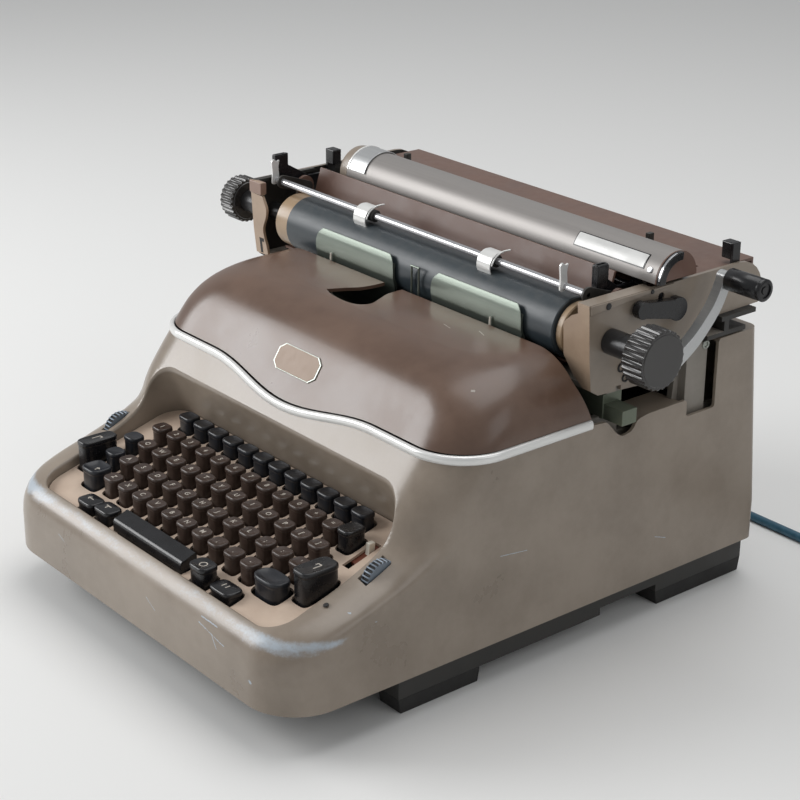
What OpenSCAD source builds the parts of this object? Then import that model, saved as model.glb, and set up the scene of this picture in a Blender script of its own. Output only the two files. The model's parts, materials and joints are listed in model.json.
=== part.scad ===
// Electric typewriter with a hinged top cover and a sliding carriage.
// x runs to the operator's right, y to the rear and z up, in millimetres.
// The modules are drawn from the middle of the housing and its front face, and place() centres them.

/* [Housing] */
// Half of the housing's width
body_half = 177; // [170:0.5:190]
// Depth from the front face to the rear face
body_depth = 440; // [430:0.5:450]
// Thickness of the pressed walls
wall = 2.5; // [2:0.1:3]
// Radius of the front corners seen from above
corner_r = 40; // [30:1:45]
// Radius of the rear corners seen from above
rear_r = 8; // [6:0.5:14]
// Radius of the cover's side shoulders
shoulder_r = 45; // [40:0.5:48]
// Height of the seam between housing and cover at the sides
seam_z = 171; // [170:0.1:172]
// Depth of the seam's dip in the middle
seam_dip = 10; // [6:0.5:11]
// Width of the bright strip along the seam
trim_h = 4.8; // [4:0.1:5.2]

/* [Keyboard] */
// Distance between neighbouring keys
key_pitch = 19; // [18.6:0.05:19.1]
// Distance between neighbouring rows
row_step = 19.15; // [18.8:0.05:19.2]
// Height that each row rises above the one before
row_rise = 5.44; // [5:0.02:5.6]
// Width of a letter key
key_w = 14; // [12:0.1:14.2]
// Depth of a letter key
key_d = 12.6; // [11:0.1:13]
// Gap between a key and its hole in the plate
key_gap = 0.8; // [0.6:0.05:1]
// Half of the key well's width
well_half = 147; // [146.5:0.1:148]
// Radius of the thumb wheels
thumb_r = 14; // [12:0.1:15]

/* [Carriage] */
// Distance of the carriage from the middle at rest
carriage_rest = -21; // [-40:1:20]
// Half of the distance over both end plates
carriage_half = 193.5; // [190:0.5:200]
// Thickness of the end plates
plate_t = 3; // [2:0.1:3.2]
// Radius of the platen's rubber
platen_r = 22; // [21:0.05:22]
// Radius of the platen's shaft
shaft_r = 7; // [6:0.05:7.5]
// Radius of the platen knobs
knob_r = 21; // [18:0.1:22]
// Count of the ribs round a knob
knob_ribs = 40; // [24:1:60]
// Radius of the paper rail
rail_r = 20; // [18:0.1:20]
// Radius of the bail rod
bail_r = 2.5; // [2:0.05:2.6]
// Radius of the bail rollers
roller_r = 5.8; // [5:0.05:5.8]

/* [Drive] */
// Radius of the motor pulley
pulley_r = 12; // [10:0.5:14]
// Radius of the power roller's pulley
drive_r = 24; // [20:0.5:26]
// Radius of the motor
motor_r = 38; // [34:0.5:40]
// Radius of the ribbon spools
spool_r = 25; // [20:0.5:28]

/* [Cord] */
// Diameter of the cord
cord_d = 7; // [6:0.1:7.4]
// Distance between neighbouring turns of the coil
coil_pitch = 7.8; // [7.8:0.05:8.4]

/* [Hidden] */
$fn = 48;
fit = 0.05;
seat = 0.3;
slide_gap = 0.4;
skirt_z = 31;
cover_top = 217;
seam_wave = 190;
arc_n = 8;
rear_n = 3;

// Front outline of the body from the side: apron, rim beside the keys, slope and shoulder
apron = [[0, 58], [0.8, 65], [2.8, 71], [6, 76.2], [10.5, 80.2], [17, 83.6], [29, 88], [44, 92.6], [57, 96.8],
    [70, 101.3], [82, 106.4], [93, 111.8], [101, 117.3], [106.5, 124.5], [110.5, 133.5], [115, 141.5],
    [121, 150], [129, 160.5], [138, 172], [144, 181]];
shoulder = [[110.5, 133.5], [115, 141.5], [121, 150], [129, 160.5], [138, 172], [144, 181], [149.5, 189.5],
    [156, 198], [164, 205.3], [174, 211], [186, 215.2], [200, cover_top]];

function curve_point(a, b, c, d, t) = (2 * b + (c - a) * t + (2 * a - 5 * b + 4 * c - d) * t * t
    + (3 * b - a - 3 * c + d) * t * t * t) / 2;
function curve(pts, n) = concat([for (i = [0 : len(pts) - 2], k = [0 : n - 1])
    curve_point(pts[max(i - 1, 0)], pts[i], pts[i + 1], pts[min(i + 2, len(pts) - 1)], k / n)],
    [pts[len(pts) - 1]]);

lower_line = concat([[0, skirt_z]], curve(apron, 2));
upper_line = curve(shoulder, 2);
front_table = [for (p = lower_line) [p[1], p[0]]];
rear_table = [[skirt_z, body_depth], [62, body_depth], [cover_top + 7, body_depth - 15.5]];
function front_y(z) = lookup(z, front_table);
function rear_y(z) = lookup(z, rear_table);
function seam(x) = abs(x) < seam_wave / 2 ? seam_z - seam_dip * pow(cos(180 * x / seam_wave), 2) : seam_z;
shoulder_z = cover_top - shoulder_r;
function half_at(z) = z <= shoulder_z ? body_half
    : body_half - shoulder_r + sqrt(max(pow(shoulder_r, 2) - pow(z - shoulder_z, 2), 0));

// Key well, whose rear wall leans forward from the plate up to its lip, and the plate in it
well_front = 14.5;
well_front_r = 18;
well_rear_r = 22;
well_lip = [121, 150];
well_lean = 0.415;
well_wall = 2;
plate_gap = 0.5;
sheet = 2;
function plate_z(y) = 71.8 + 0.29 * y;
function well_rear(z) = well_lip[0] - well_lean * (z - well_lip[1]);

// Keys: count, offset and first row place
row_y = 45;
row_z = 97;
rows = [[10, 1.25], [12, 0.75], [12, 0.5], [12, 0]];
function key_x(i, offset) = (i + offset - 6) * key_pitch;
function row_at(r) = [row_y + r * row_step, row_z + r * row_rise];
function row_spots(r) = [for (i = [0 : rows[r][0] - 1]) [key_x(i, rows[r][1]), row_at(r)[0], row_at(r)[1]]];
function_spots = [for (i = [0 : 11]) [key_x(i, 0.3), 123.2, 118.3]];
side_spots = [[key_x(-1, 0.75), row_at(1)[0], row_at(1)[1]], [key_x(-1, 0.5), row_at(2)[0], row_at(2)[1]]];
tall_number = [111.5, 105, 115.5];
shift_left_spot = [-113, 44.5, 97.5];
shift_right_spot = [105, 44.5, 96];
lock_left_spot = [-138, 61.5, 107.5];
lock_right_spot = [130, 61.5, 108.5];
tab_spots = [[-88, 24, 86.5], [-66, 24.5, 88]];
ring_spot = [55.5, 24, 92];
end_spot = [81.5, 24, 86];
space_x = [-50, 36];
space_y = [18.5, 32];
space_top = [87, 90.5];
function_size = [16, 12.5];
tall_d = 17;
shift_left_size = [20, 18];
shift_right_size = [26, 15];
lock_left_size = [12, 27];
lock_right_size = [15, 27];
tab_size = [16, 13];
ring_size = [16, 13];
end_size = [22, 14];
stem = [4, 2];
stem_below = 14;
skirt_below = 3;
function mid(v) = (v[0] + v[1]) / 2;
space_stems = [for (s = [-1, 1]) [mid(space_x) + s * 28, mid(space_y), space_top[0]]];

// Wheels and switch beside the keys
thumb_w = 7;
thumb_spot = [well_half + 10, 93, 99];
thumb_slot = [77, 109];
switch_x = 126.5;
switch_y = [88, 116];
switch_w = 7;

// Base, frames and rails
floor_z = 17;
foot_z = 11;
base_half = body_half - 9;
base_front = 100;
base_rear = body_depth - 3;
foot_w = 22;
front_foot = [100, 172];
rear_foot = [344, body_depth - 3];
frame_x = body_half - 17;
frame_t = 5;
bar_y = [279, 297];
bar_z = [166, 184];
bar_half = body_half + 9;
post_y = [356, 378];
post_z = 203;
deck_z = 184;
deck_t = 3;
deck_y = [186, 249];
tower_y = 384;
tower_z = 203;

// Places on the carriage, across from its own middle
platen_y = 278;
platen_z = 225;
rubber = [49.5 - carriage_half, carriage_half - 33.5];
collar_w = 15;
knob_right = [carriage_half + 30.5, carriage_half + 48.5];
knob_left = [-carriage_half - 48.5, -carriage_half - 31.5];
knob_left_r = knob_r - 2.5;
plate_top = 254;
plate_in = carriage_half - plate_t;
flange_w = 25;
bed_half = plate_in - 0.2;
bed_top = 192.5;
bail_y = 275;
bail_z = 253;
bail_pivot = [300, 245];
bail_arm_x = carriage_half - 21;
bail_arm_t = 2;
bail_bracket_x = carriage_half - 17.5;
release_y = 326;
release_z = 246;
release_r = 3;
release_x = carriage_half - 26.5;
release_left = -carriage_half + 8.5;
rail_y = 335;
rail_z = 258;
rail_half = carriage_half - 27.5;
rail_left = carriage_half - 40.5;
rail_right = carriage_half - 10.5;
rail_t = 1.8;
margin_y = 377;
margin_z = 239;
margin_h = 6;
lever_pivot = [307, 196];
lever_line = [[307, 196], [322, 201], [339, 211], [350, 220], [362, 233], [368, 243], [373, 254]];
lever_x = [carriage_half + 10.5, carriage_half + 18.5];
handle_end = carriage_half + 51.5;
handle_r = 8;
selector = [336, 237];
catch_left = [335, 236];
catch_right = [405, 236];

// Hinge of the top cover, on the outside of the seam's lowest point
hinge_r = 2.5;
hinge_z = seam(0) + 0.2;
hinge_y = front_y(hinge_z) - 0.3;
pin_r = 1.2;

// Drive places
motor_y = 350;
motor_z = 85;
roller_y = 250;
roller_z = 70;
belt_x = [101, 109];
belt_t = 2;

// Whole machine, without the cord, for centring
mid_x = carriage_rest + (handle_end + knob_left[0]) / 2;
mid_y = body_depth / 2;

// Cord from the rear face down to the table and along it to the coil
cord_exit = [40, 44];
cord_r = cord_d / 2;
relief_l = 26;
relief_y = body_depth + seat;
route = [[40, body_depth - 8, 44], [40, body_depth + 10, 44], [40, body_depth + 28, 44], [40, 478, 41.5],
    [41, 488, 35], [45, 497, 25], [53, 504, 14], [66, 508.5, 6.5], [82, 510, 3.7], [105, 510, 3.5],
    [135, 510, 3.5], [165, 510, 3.5], [192, 510, 3.5], [210, 510, 3.5], [218, 510, 3.5]];
coil_start = [218, 510, cord_r];
coil_in = 3.5;
coil_out = 3;
coil_r = 52;
coil_steps = 24;
coil_centre = [coil_start[0] + cord_d, coil_start[1] + coil_r];
layer_z = coil_pitch;
inner_turn = coil_r - coil_pitch * coil_in;
function coil_radius(u) = u < coil_in ? coil_r - coil_pitch * u
    : u < coil_in + 0.5 ? inner_turn : inner_turn + coil_pitch * (u - coil_in - 0.5);
function climb(u) = u < coil_in ? 0 : u > coil_in + 0.5 ? layer_z
    : layer_z * (1 - cos(360 * (u - coil_in))) / 2;
coil_turns = coil_in + 0.5 + coil_out;
function coil_point(u) = [coil_centre[0] + coil_radius(u) * sin(360 * u),
    coil_centre[1] - coil_radius(u) * cos(360 * u), cord_r + climb(u)];
coil_last = coil_point(coil_turns);
tail = 48;
coil_path = concat([coil_start], [for (k = [0 : coil_turns * coil_steps]) coil_point(k / coil_steps)],
    [for (k = [1 : 4]) coil_last + [tail * k / 4, 0, 0]]);
plug_at = coil_last + [tail, 0, 0];
coil_gap = min([for (i = [0 : len(coil_path) - 1], j = [i + 6 : 1 : len(coil_path) - 1])
    norm(coil_path[i] - coil_path[j])]) - cord_d;
echo(coil_gap = coil_gap);

// Node to draw, or all of them

// Moves the drawing so that the machine's bottom centre is the origin
module place() {
    translate([-mid_x, -mid_y, 0]) children();
}

// Moves a piece of the carriage to where the carriage rests
module on_carriage() {
    place() translate([carriage_rest, 0, 0]) children();
}

// Extrudes a side outline of y and z points across the machine
module across(x0, x1) {
    translate([x0, 0, 0]) rotate([90, 0, 90]) linear_extrude(x1 - x0) children();
}

// Rod along x
module rod(r, x0, x1, y, z) {
    translate([x0, y, z]) rotate([0, 90, 0]) cylinder(r = r, h = x1 - x0);
}

module box(x, y, z) {
    translate([x[0], y[0], z[0]]) cube([x[1] - x[0], y[1] - y[0], z[1] - z[0]]);
}

module both_sides() {
    children();
    mirror([1, 0, 0]) children();
}

// Closed solid through rings that all have the same count of points
module loft(rings) {
    m = len(rings[0]);
    n = len(rings);
    points = [for (r = rings) each r];
    sides = [for (j = [0 : n - 2], i = [0 : m - 1])
        [j * m + i, (j + 1) * m + i, (j + 1) * m + (i + 1) % m, j * m + (i + 1) % m]];
    bottom = [for (i = [0 : m - 1]) i];
    top = [for (i = [0 : m - 1]) n * m - 1 - i];
    polyhedron(points, concat([bottom], sides, [top]));
}

function corner(x, y, r, from, n) = [for (i = [0 : n]) let (a = from + 90 * i / n) [x + r * cos(a), y + r * sin(a)]];

// Plan of the body at one height: round front corners, smaller round rear corners
function body_ring(p, half, inset) = let (w = half - inset, r = corner_r - inset, q = rear_r - inset,
    y = p[0] + inset, z = p[1] - inset, b = rear_y(p[1]) - inset)
    [for (c = concat(corner(r - w, y + r, r, 180, arc_n), corner(w - r, y + r, r, 270, arc_n),
        corner(w - q, b - q, q, 0, rear_n), corner(q - w, b - q, q, 90, rear_n))) [c[0], c[1], z]];

// Body up to the seam, with upright sides that carry on to the rear tower
module lower_body(inset) {
    top = lower_line[len(lower_line) - 1];
    line = concat(lower_line, [[top[0], tower_z + 20]]);
    loft([for (p = line) body_ring(p, body_half, inset)]);
}

// Body from under the seam to the flat top, drawn in over the shoulders
module upper_body(inset) {
    loft([for (p = upper_line) body_ring(p, half_at(p[1]), inset)]);
}

// Everything over the seam line, from the front back to y_end
module over_seam(dz, y_end) {
    far = body_half + 20;
    steps = 24;
    wave = [for (i = [0 : steps]) let (x = seam_wave * (i / steps - 0.5)) [x, seam(x) + dz]];
    translate([0, y_end, 0]) rotate([90, 0, 0]) linear_extrude(y_end + 20)
        polygon(concat([[-far, seam_z + dz]], wave, [[far, seam_z + dz], [far, 300], [-far, 300]]));
}

// Room of the key well, made larger or smaller by inset
function well_ring(z, inset) = let (h = well_half - inset, y0 = well_front + inset, y1 = well_rear(z) - inset,
    f = well_front_r - inset, r = well_rear_r - inset)
    [for (c = concat(corner(f - h, y0 + f, f, 180, arc_n), corner(h - f, y0 + f, f, 270, arc_n),
        corner(h - r, y1 - r, r, 0, arc_n), corner(r - h, y1 - r, r, 90, arc_n))) [c[0], c[1], z]];
module well_form(inset) {
    loft([well_ring(40, inset), well_ring(165, inset)]);
}

module base_frame() {
    rim_half = body_half - wall - seat;
    rim_y = [wall + seat, body_depth - wall - 1];
    color("#3a3834") place() difference() {
        union() {
            box([-base_half, base_half], [base_front, base_rear], [floor_z, skirt_z + 3]);
            intersection() {
                box([-rim_half, rim_half], rim_y, [skirt_z, skirt_z + 3]);
                translate([0, 0, skirt_z - 1]) linear_extrude(6) plan_inside(wall + seat);
            }
            for (s = [-1, 1], y = [[base_front, 287], [344, base_rear]]) {
                translate([s * (base_half - foot_w / 2) - foot_w / 2, y[0], foot_z])
                    cube([foot_w, y[1] - y[0], floor_z - foot_z + 1]);
            }
        }
        box([-base_half + 3, base_half - 3], [base_front + 3, base_rear - 3], [floor_z + 3, skirt_z + 4]);
        for (x = [-100 : 25 : 100], y = [[200, 250], [370, 410]]) {
            box([x - 4, x + 4], y, [floor_z - 1, floor_z + 4]);
        }
    }
}

// Plan of the housing's lower edge, pulled in
module plan_inside(inset) {
    polygon([for (c = body_ring([0, skirt_z], body_half, inset)) [c[0], c[1]]]);
}

module rubber_feet() {
    color("#1c1b1a") place() both_sides() for (y = [front_foot, rear_foot]) {
        across(base_half - foot_w, base_half)
            polygon([[y[0] + 2, 0], [y[1] - 2, 0], [y[1], foot_z], [y[0], foot_z]]);
    }
}

// Upper edge of the side panels, with the notch for the front rail and the slot for the rear post
module panel_outline() {
    polygon([[-20, 0], [body_depth + 20, 0], [body_depth + 20, tower_z], [tower_y, tower_z], [tower_y, 151],
        [354.5, 151], [354.5, 164], [315, 163.7], [305, 162], [300, 154.7], [291, 153], [285, 156.5],
        [275, 168], [260, 169], [260, tower_z], [-20, tower_z]]);
}

module open_inside() {
    polygon([[-20, 0], [body_depth + 20, 0], [body_depth + 20, tower_z - wall], [tower_y - 1, tower_z - wall],
        [tower_y - 1, 300], [-20, 300]]);
}

module main_housing() {
    far = 170;
    low = 3;
    boss = thumb_spot[0] + 12.5;
    color("#8d8376") place() {
        difference() {
            intersection() {
                lower_body(0);
                across(-body_half - 10, body_half + 10) panel_outline();
            }
            intersection() {
                lower_body(wall);
                across(-body_half, body_half) open_inside();
            }
            over_seam(-trim_h / 2 - 0.1, 260);
            rod(hinge_r + seat, -18.5, 18.5, hinge_y, hinge_z);
            well_form(0);
            both_sides() box([thumb_spot[0] - 5, thumb_spot[0] + 5], thumb_slot, [86, 130]);
            translate([cord_exit[0], body_depth - 8, cord_exit[1]]) rotate([-90, 0, 0]) cylinder(r = 7.3, h = 20);
            for (x = [-120 : 12 : 120]) {
                box([x - 2, x + 2], [body_depth - 25, body_depth + 5], [80, 120]);
            }
        }
        intersection() {
            difference() {
                well_form(-well_wall);
                well_form(0);
            }
            lower_body(0.4);
            across(-body_half, body_half)
                polygon([[0, plate_z(0) - low], [far, plate_z(far) - low], [far, 200], [0, 200]]);
        }
        both_sides() {
            rod(3.5, thumb_spot[0] + thumb_w / 2 + 0.5, boss, thumb_spot[1], thumb_spot[2]);
            rod(2, thumb_spot[0] - thumb_w / 2 - 0.5, boss, thumb_spot[1], thumb_spot[2]);
        }
    }
}

function sized(spots, w, d) = [for (s = spots) [s, w, d]];
key_holes = concat(sized(concat(row_spots(0), row_spots(1), row_spots(2), row_spots(3), side_spots), key_w, key_d),
    sized(function_spots, function_size[0], function_size[1]), sized([tall_number], key_w, tall_d),
    sized([shift_left_spot], shift_left_size[0], shift_left_size[1]),
    sized([shift_right_spot], shift_right_size[0], shift_right_size[1]),
    sized([lock_left_spot], lock_left_size[0], lock_left_size[1]),
    sized([lock_right_spot], lock_right_size[0], lock_right_size[1]), sized(tab_spots, tab_size[0], tab_size[1]),
    sized([ring_spot], ring_size[0], ring_size[1]), sized([end_spot], end_size[0], end_size[1]),
    [[[mid(space_x), mid(space_y)], space_x[1] - space_x[0], space_y[1] - space_y[0]]]);

module keyboard_plate() {
    span = [0, 160];
    color("#b59c78") place() difference() {
        intersection() {
            across(-well_half, well_half) polygon([[span[0], plate_z(span[0])], [span[1], plate_z(span[1])],
                [span[1], plate_z(span[1]) - sheet], [span[0], plate_z(span[0]) - sheet]]);
            well_form(plate_gap);
        }
        for (h = key_holes) {
            translate([h[0][0], h[0][1], 90]) cube([h[1] + 2 * key_gap, h[2] + 2 * key_gap, 80], center = true);
        }
        box([switch_x - switch_w / 2, switch_x + switch_w / 2], switch_y, [80, 120]);
    }
}

module trim_strip() {
    color("#cfd2d4") place() {
        difference() {
            intersection() {
                difference() {
                    upper_body(-0.6);
                    upper_body(wall);
                }
                over_seam(-trim_h / 2, 259);
            }
            over_seam(trim_h / 2, 270);
            box([-18.5, 18.5], [hinge_y - 20, hinge_y + 20], [hinge_z - 20, hinge_z + 20]);
        }
        both_sides() rod(hinge_r, 6.4, 18, hinge_y, hinge_z);
        rod(pin_r, -18, 18, hinge_y, hinge_z);
    }
}

module side_frames() {
    front = 172;
    rear = body_depth - 14;
    color("#a9aaa5") place() {
        both_sides() difference() {
            across(frame_x, frame_x + frame_t) polygon([[front, skirt_z + 3.3], [rear, skirt_z + 3.3], [rear, 145],
                [tower_y, 150], [post_y[1], post_z], [post_y[0], post_z], [post_y[0] - 6, 150], [bar_y[1], 152],
                [bar_y[1], bar_z[0] + 1], [bar_y[0] - 8, bar_z[0] + 1], [deck_y[1] + 6, deck_z - seat],
                [front, deck_z - seat]]);
            rod(5 + fit, frame_x - 1, frame_x + frame_t + 1, roller_y, roller_z);
            rod(3, frame_x - 1, frame_x + frame_t + 1, mid(post_y), post_z - 7);
            rod(32, frame_x - 1, frame_x + frame_t + 1, motor_y, motor_z);
            rod(22, frame_x - 1, frame_x + frame_t + 1, 215, 125);
        }
        box([-frame_x - frame_t - 3, frame_x + frame_t + 3], bar_y, bar_z);
        box([-bar_half, bar_half], [bar_y[0] + 1, bar_y[1] - 3], [bar_z[0], bar_z[0] + 11]);
        both_sides() box([frame_x + frame_t - 0.1, body_half - wall - 2.5], [post_y[0] + 1, post_y[1]],
            [120, post_z - 1]);
        box([-frame_x - 1, frame_x + 1], [post_y[0], post_y[1] - 8], [post_z - 10, post_z]);
        rod(4, -frame_x - 1, frame_x + 1, 190, 60);
        rod(4, -frame_x - 1, frame_x + 1, 405, 60);
    }
}

module ribbon_deck() {
    color("#6e6c68") place() {
        difference() {
            box([-frame_x - frame_t, frame_x + frame_t], deck_y, [deck_z, deck_z + deck_t]);
            translate([0, deck_y[1] + 20, deck_z - 1]) cylinder(r = 68, h = deck_t + 2);
        }
        for (s = [-1, 1]) {
            translate([s * 95, 212, deck_z]) cylinder(r = 3, h = 18);
        }
    }
}

module type_basket() {
    centre = deck_y[1] - 6;
    color("#8b8c8a") place() {
        difference() {
            translate([0, centre, 158]) cylinder(r = 96, h = 12);
            translate([0, centre, 157]) cylinder(r = 82, h = 14);
            box([-120, 120], [centre, centre + 120], [150, 180]);
        }
        for (a = [-70 : 7 : 70]) {
            translate([0, centre, 168]) rotate([0, 0, a]) box([-0.8, 0.8], [-90, -34], [0, 7]);
        }
        both_sides() box([80, frame_x - 0.2], [centre - 18, centre], [158, 168]);
    }
}

module card_guides() {
    guide_r = platen_r + 1;
    sheet_t = 1.2;
    foot = [platen_y - guide_r * cos(28) - sheet_t, platen_z - guide_r * sin(28)];
    color("#b9c2b6") place() {
        for (x = [[-121, -28], [16, 111]]) {
            across(x[0], x[1]) intersection() {
                difference() {
                    translate([platen_y, platen_z]) circle(guide_r + sheet_t);
                    translate([platen_y, platen_z]) circle(guide_r);
                }
                translate([platen_y, platen_z])
                    polygon([[0, 0], 60 * [-cos(16), sin(16)], [-70, 0], 60 * [-cos(28), -sin(28)]]);
            }
            across(x[0], x[1]) polygon([foot + [0.05, 0.6], foot + [1.2, 0], [foot[0] + 1.2, deck_z + deck_t + 0.2],
                [foot[0], deck_z + deck_t + 0.2]]);
            for (end = [x[0], x[1] - 12]) {
                box([end, end + 12], [deck_y[1] - 9, foot[0] + 1.2], [deck_z + deck_t + 0.2, deck_z + deck_t + 1.6]);
            }
        }
        box([-30, 20], [foot[0] - 4, foot[0] + 0.5], [deck_z + deck_t + 0.2, 204]);
        for (x = [-7, 1]) {
            translate([x, foot[0] - 2.6, 203]) cylinder(r = 0.8, h = 33);
        }
        rod(0.8, -7.8, 1.8, foot[0] - 2.6, 236);
    }
}

module drive_motor() {
    shaft_end = 80;
    color("#4a4d50") place() difference() {
        union() {
            rod(motor_r, -45, 65, motor_y, motor_z);
            rod(motor_r - 14, 64, 72, motor_y, motor_z);
            box([-35, 55], [motor_y - 24, motor_y + 24], [floor_z + 3.2, motor_z]);
        }
        rod(5 + fit, 30, shaft_end, motor_y, motor_z);
        for (x = [-30 : 12 : 50]) {
            box([x - 2, x + 2], [motor_y - 60, motor_y + 60], [motor_z + motor_r - 6, motor_z + motor_r + 1]);
        }
    }
}

module motor_pulley() {
    color("#7a7c80") place() {
        rod(pulley_r, belt_x[0] - 2, belt_x[1] + 2, motor_y, motor_z);
        rod(5, 40, belt_x[0], motor_y, motor_z);
    }
}

module power_roller() {
    color("#55575a") place() {
        rod(16, -120, 92, roller_y, roller_z);
        rod(5, -frame_x - 3, frame_x + 3, roller_y, roller_z);
        rod(drive_r, belt_x[0] - 2, belt_x[1] + 2, roller_y, roller_z);
    }
}

// Outline of a loop that passes round the two pulleys at a distance
module belt_outline(grow) {
    reach = norm([motor_y - roller_y, motor_z - roller_z]);
    lean = atan2(motor_z - roller_z, motor_y - roller_y);
    open = acos((drive_r - pulley_r) / reach);
    steps = 18;
    translate([roller_y, roller_z]) rotate(lean) polygon(concat(
        [for (i = [0 : steps]) let (t = open + (360 - 2 * open) * i / steps)
            (drive_r + grow) * [cos(t), sin(t)]],
        [for (i = [0 : steps]) let (t = open * (2 * i / steps - 1))
            [reach, 0] + (pulley_r + grow) * [cos(t), sin(t)]]));
}

module drive_belt() {
    color("#22211f") place() across(belt_x[0], belt_x[1]) difference() {
        belt_outline(slide_gap + belt_t);
        belt_outline(slide_gap);
    }
}

// Leaf-shaped opening over the type bars
module leaf() {
    r = 46;
    translate([-19, 219]) rotate(26) intersection() {
        translate([0, r - 12.5]) circle(r);
        translate([0, 12.5 - r]) circle(r);
    }
}

module top_cover() {
    rear_edge = 249.5;
    keep = [[90, 130], [263, 165], [261, 171], [250, 200], [rear_edge, cover_top - 4], [rear_edge, 240],
        [90, 240]];
    tab_z = seam(0) + trim_h / 2 + 0.5;
    color("#5b4d42") place() {
        difference() {
            intersection() {
                difference() {
                    upper_body(0);
                    upper_body(wall);
                }
                over_seam(trim_h / 2 + 0.5, 275);
                across(-body_half - 5, body_half + 5) polygon(keep);
            }
            translate([0, 0, 200]) linear_extrude(40) leaf();
            rod(hinge_r + 0.4, -18.5, 18.5, hinge_y, hinge_z);
        }
        difference() {
            union() {
                rod(hinge_r, -6, 6, hinge_y, hinge_z);
                across(-6, 6) polygon([[hinge_y, hinge_z + hinge_r - 0.3], [hinge_y + 1.8, hinge_z + 0.4],
                    [hinge_y + 5.6, tab_z + 2], [hinge_y + 4.2, tab_z + 2.6]]);
            }
            rod(pin_r + fit, -7, 7, hinge_y, hinge_z);
        }
    }
}

module spool(s) {
    color("#2b2a2a") place() translate([s * 95, 212, deck_z + deck_t + seat + 1]) difference() {
        union() {
            cylinder(r = spool_r, h = 1.2);
            cylinder(r = spool_r - 3, h = 13);
            translate([0, 0, 12.8]) cylinder(r = spool_r, h = 1.2);
        }
        translate([0, 0, -1]) cylinder(r = 3 + fit, h = 20);
        for (a = [0 : 60 : 300]) {
            rotate([0, 0, a]) translate([11, 0, -1]) cylinder(r = 3.5, h = 20);
        }
    }
}

module ribbon_spool_left() {
    spool(-1);
}

module ribbon_spool_right() {
    spool(1);
}

module power_switch() {
    y = switch_y[1] - 8;
    color("#d8d4c8") place() {
        across(switch_x - 2, switch_x + 2) polygon([[y - 2, plate_z(y) - 5], [y + 3, plate_z(y) - 5],
            [y + 4, plate_z(y) + 5.5], [y - 1, plate_z(y) + 5.5]]);
        across(switch_x - 4.5, switch_x + 4.5) polygon([[y - 12, plate_z(y - 12) - sheet - slide_gap],
            [y + 14, plate_z(y + 14) - sheet - slide_gap], [y + 14, plate_z(y + 14) - sheet - 3],
            [y - 12, plate_z(y - 12) - sheet - 3]]);
    }
}

// Wheel with grip ribs round it, on an axle along x
module ribbed_wheel(r, w, ribs, bore) {
    turn = 360 / ribs;
    outline = [for (i = [0 : ribs - 1], k = [[-0.25, 0], [0, 0], [0.15, 1], [0.35, 1]])
        let (a = turn * (i + k[0])) (r - 0.9 + 0.9 * k[1]) * [cos(a), sin(a)]];
    rotate([90, 0, 90]) linear_extrude(w) difference() {
        polygon(outline);
        circle(bore);
    }
}

module thumb_wheel(s) {
    color("#8a98a5") place() translate([s * thumb_spot[0] - thumb_w / 2, thumb_spot[1], thumb_spot[2]])
        ribbed_wheel(thumb_r, thumb_w, 28, 2 + fit);
}

module thumb_wheel_left() {
    thumb_wheel(-1);
}

module thumb_wheel_right() {
    thumb_wheel(1);
}

module carriage_bed() {
    top = bed_top;
    rear_top = post_z + 4.4;
    runner = bar_z[1] + slide_gap;
    fin_x = [carriage_half - 30, carriage_half + 4];
    panel_half = carriage_half - 7;
    panel_y = [366, 428];
    panel_z = plate_top - 2;
    color("#77756f") on_carriage() {
        across(-bed_half, bed_half) polygon([[268, 188.5], [bar_y[0] + 2, 188.5], [bar_y[0] + 2, runner],
            [bar_y[1] - 2, runner], [bar_y[1] - 2, 188.5], [322, 188.5], [346, post_z + slide_gap],
            [post_y[1], post_z + slide_gap], [post_y[1], rear_top], [344, rear_top], [320, top], [268, top]]);
        box([-bed_half, bed_half], [margin_y - margin_h / 2, margin_y + margin_h / 2],
            [margin_z - margin_h / 2, margin_z + margin_h / 2]);
        box(fin_x, [post_y[1] - 6, post_y[1] + 34], [post_z + 1, rear_top]);
        box(fin_x, [post_y[1] + 11, post_y[1] + 16], [rear_top - 1, 216]);
        box(fin_x, [post_y[1] + 8, post_y[1] + 44], [215, 218.5]);
        difference() {
            box([-panel_half, panel_half], panel_y, [panel_z - 2.5, panel_z]);
            box([10 - panel_half, panel_half - 10], [margin_y - 4.5, margin_y + 4.5], [panel_z - 5, panel_z + 5]);
        }
        box([-panel_half, panel_half], [panel_y[1] - 2, panel_y[1]], [panel_z - 20, panel_z]);
        both_sides() box([panel_half - 8, panel_half - 4], [panel_y[0] - 4, panel_y[0] + 4],
            [rear_top - 1, panel_z - 1]);
        both_sides() difference() {
            union() {
                box([bail_bracket_x, bail_bracket_x + 3], [bail_pivot[0] - 8, bail_pivot[0] + 8],
                    [top - 1, bail_pivot[1]]);
                rod(8, bail_bracket_x, bail_bracket_x + 3, bail_pivot[0], bail_pivot[1]);
            }
            rod(2.5 + fit, bail_bracket_x - 1, bail_bracket_x + 4, bail_pivot[0], bail_pivot[1]);
        }
    }
}

// Right end plate with its front and top flanges, without the holes
module end_plate_body(top_w) {
    bend = [for (a = [0 : 15 : 90]) [407 + 24 * cos(a), plate_top - 24 + 24 * sin(a)]];
    across(plate_in, carriage_half) difference() {
        polygon(concat([[257, plate_top], [259.5, 214], [262, 192], [269, 187.5], [312, 185], [350, 205],
            [372, 219.2], [428, 220]], bend));
        translate([286, 180]) square([5, 10]);
        translate([platen_y, platen_z]) circle(shaft_r + fit);
        translate([release_y, release_z]) circle(release_r + fit);
    }
    box([carriage_half - top_w, carriage_half], [257, 318], [plate_top - 2.5, plate_top]);
}

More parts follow.
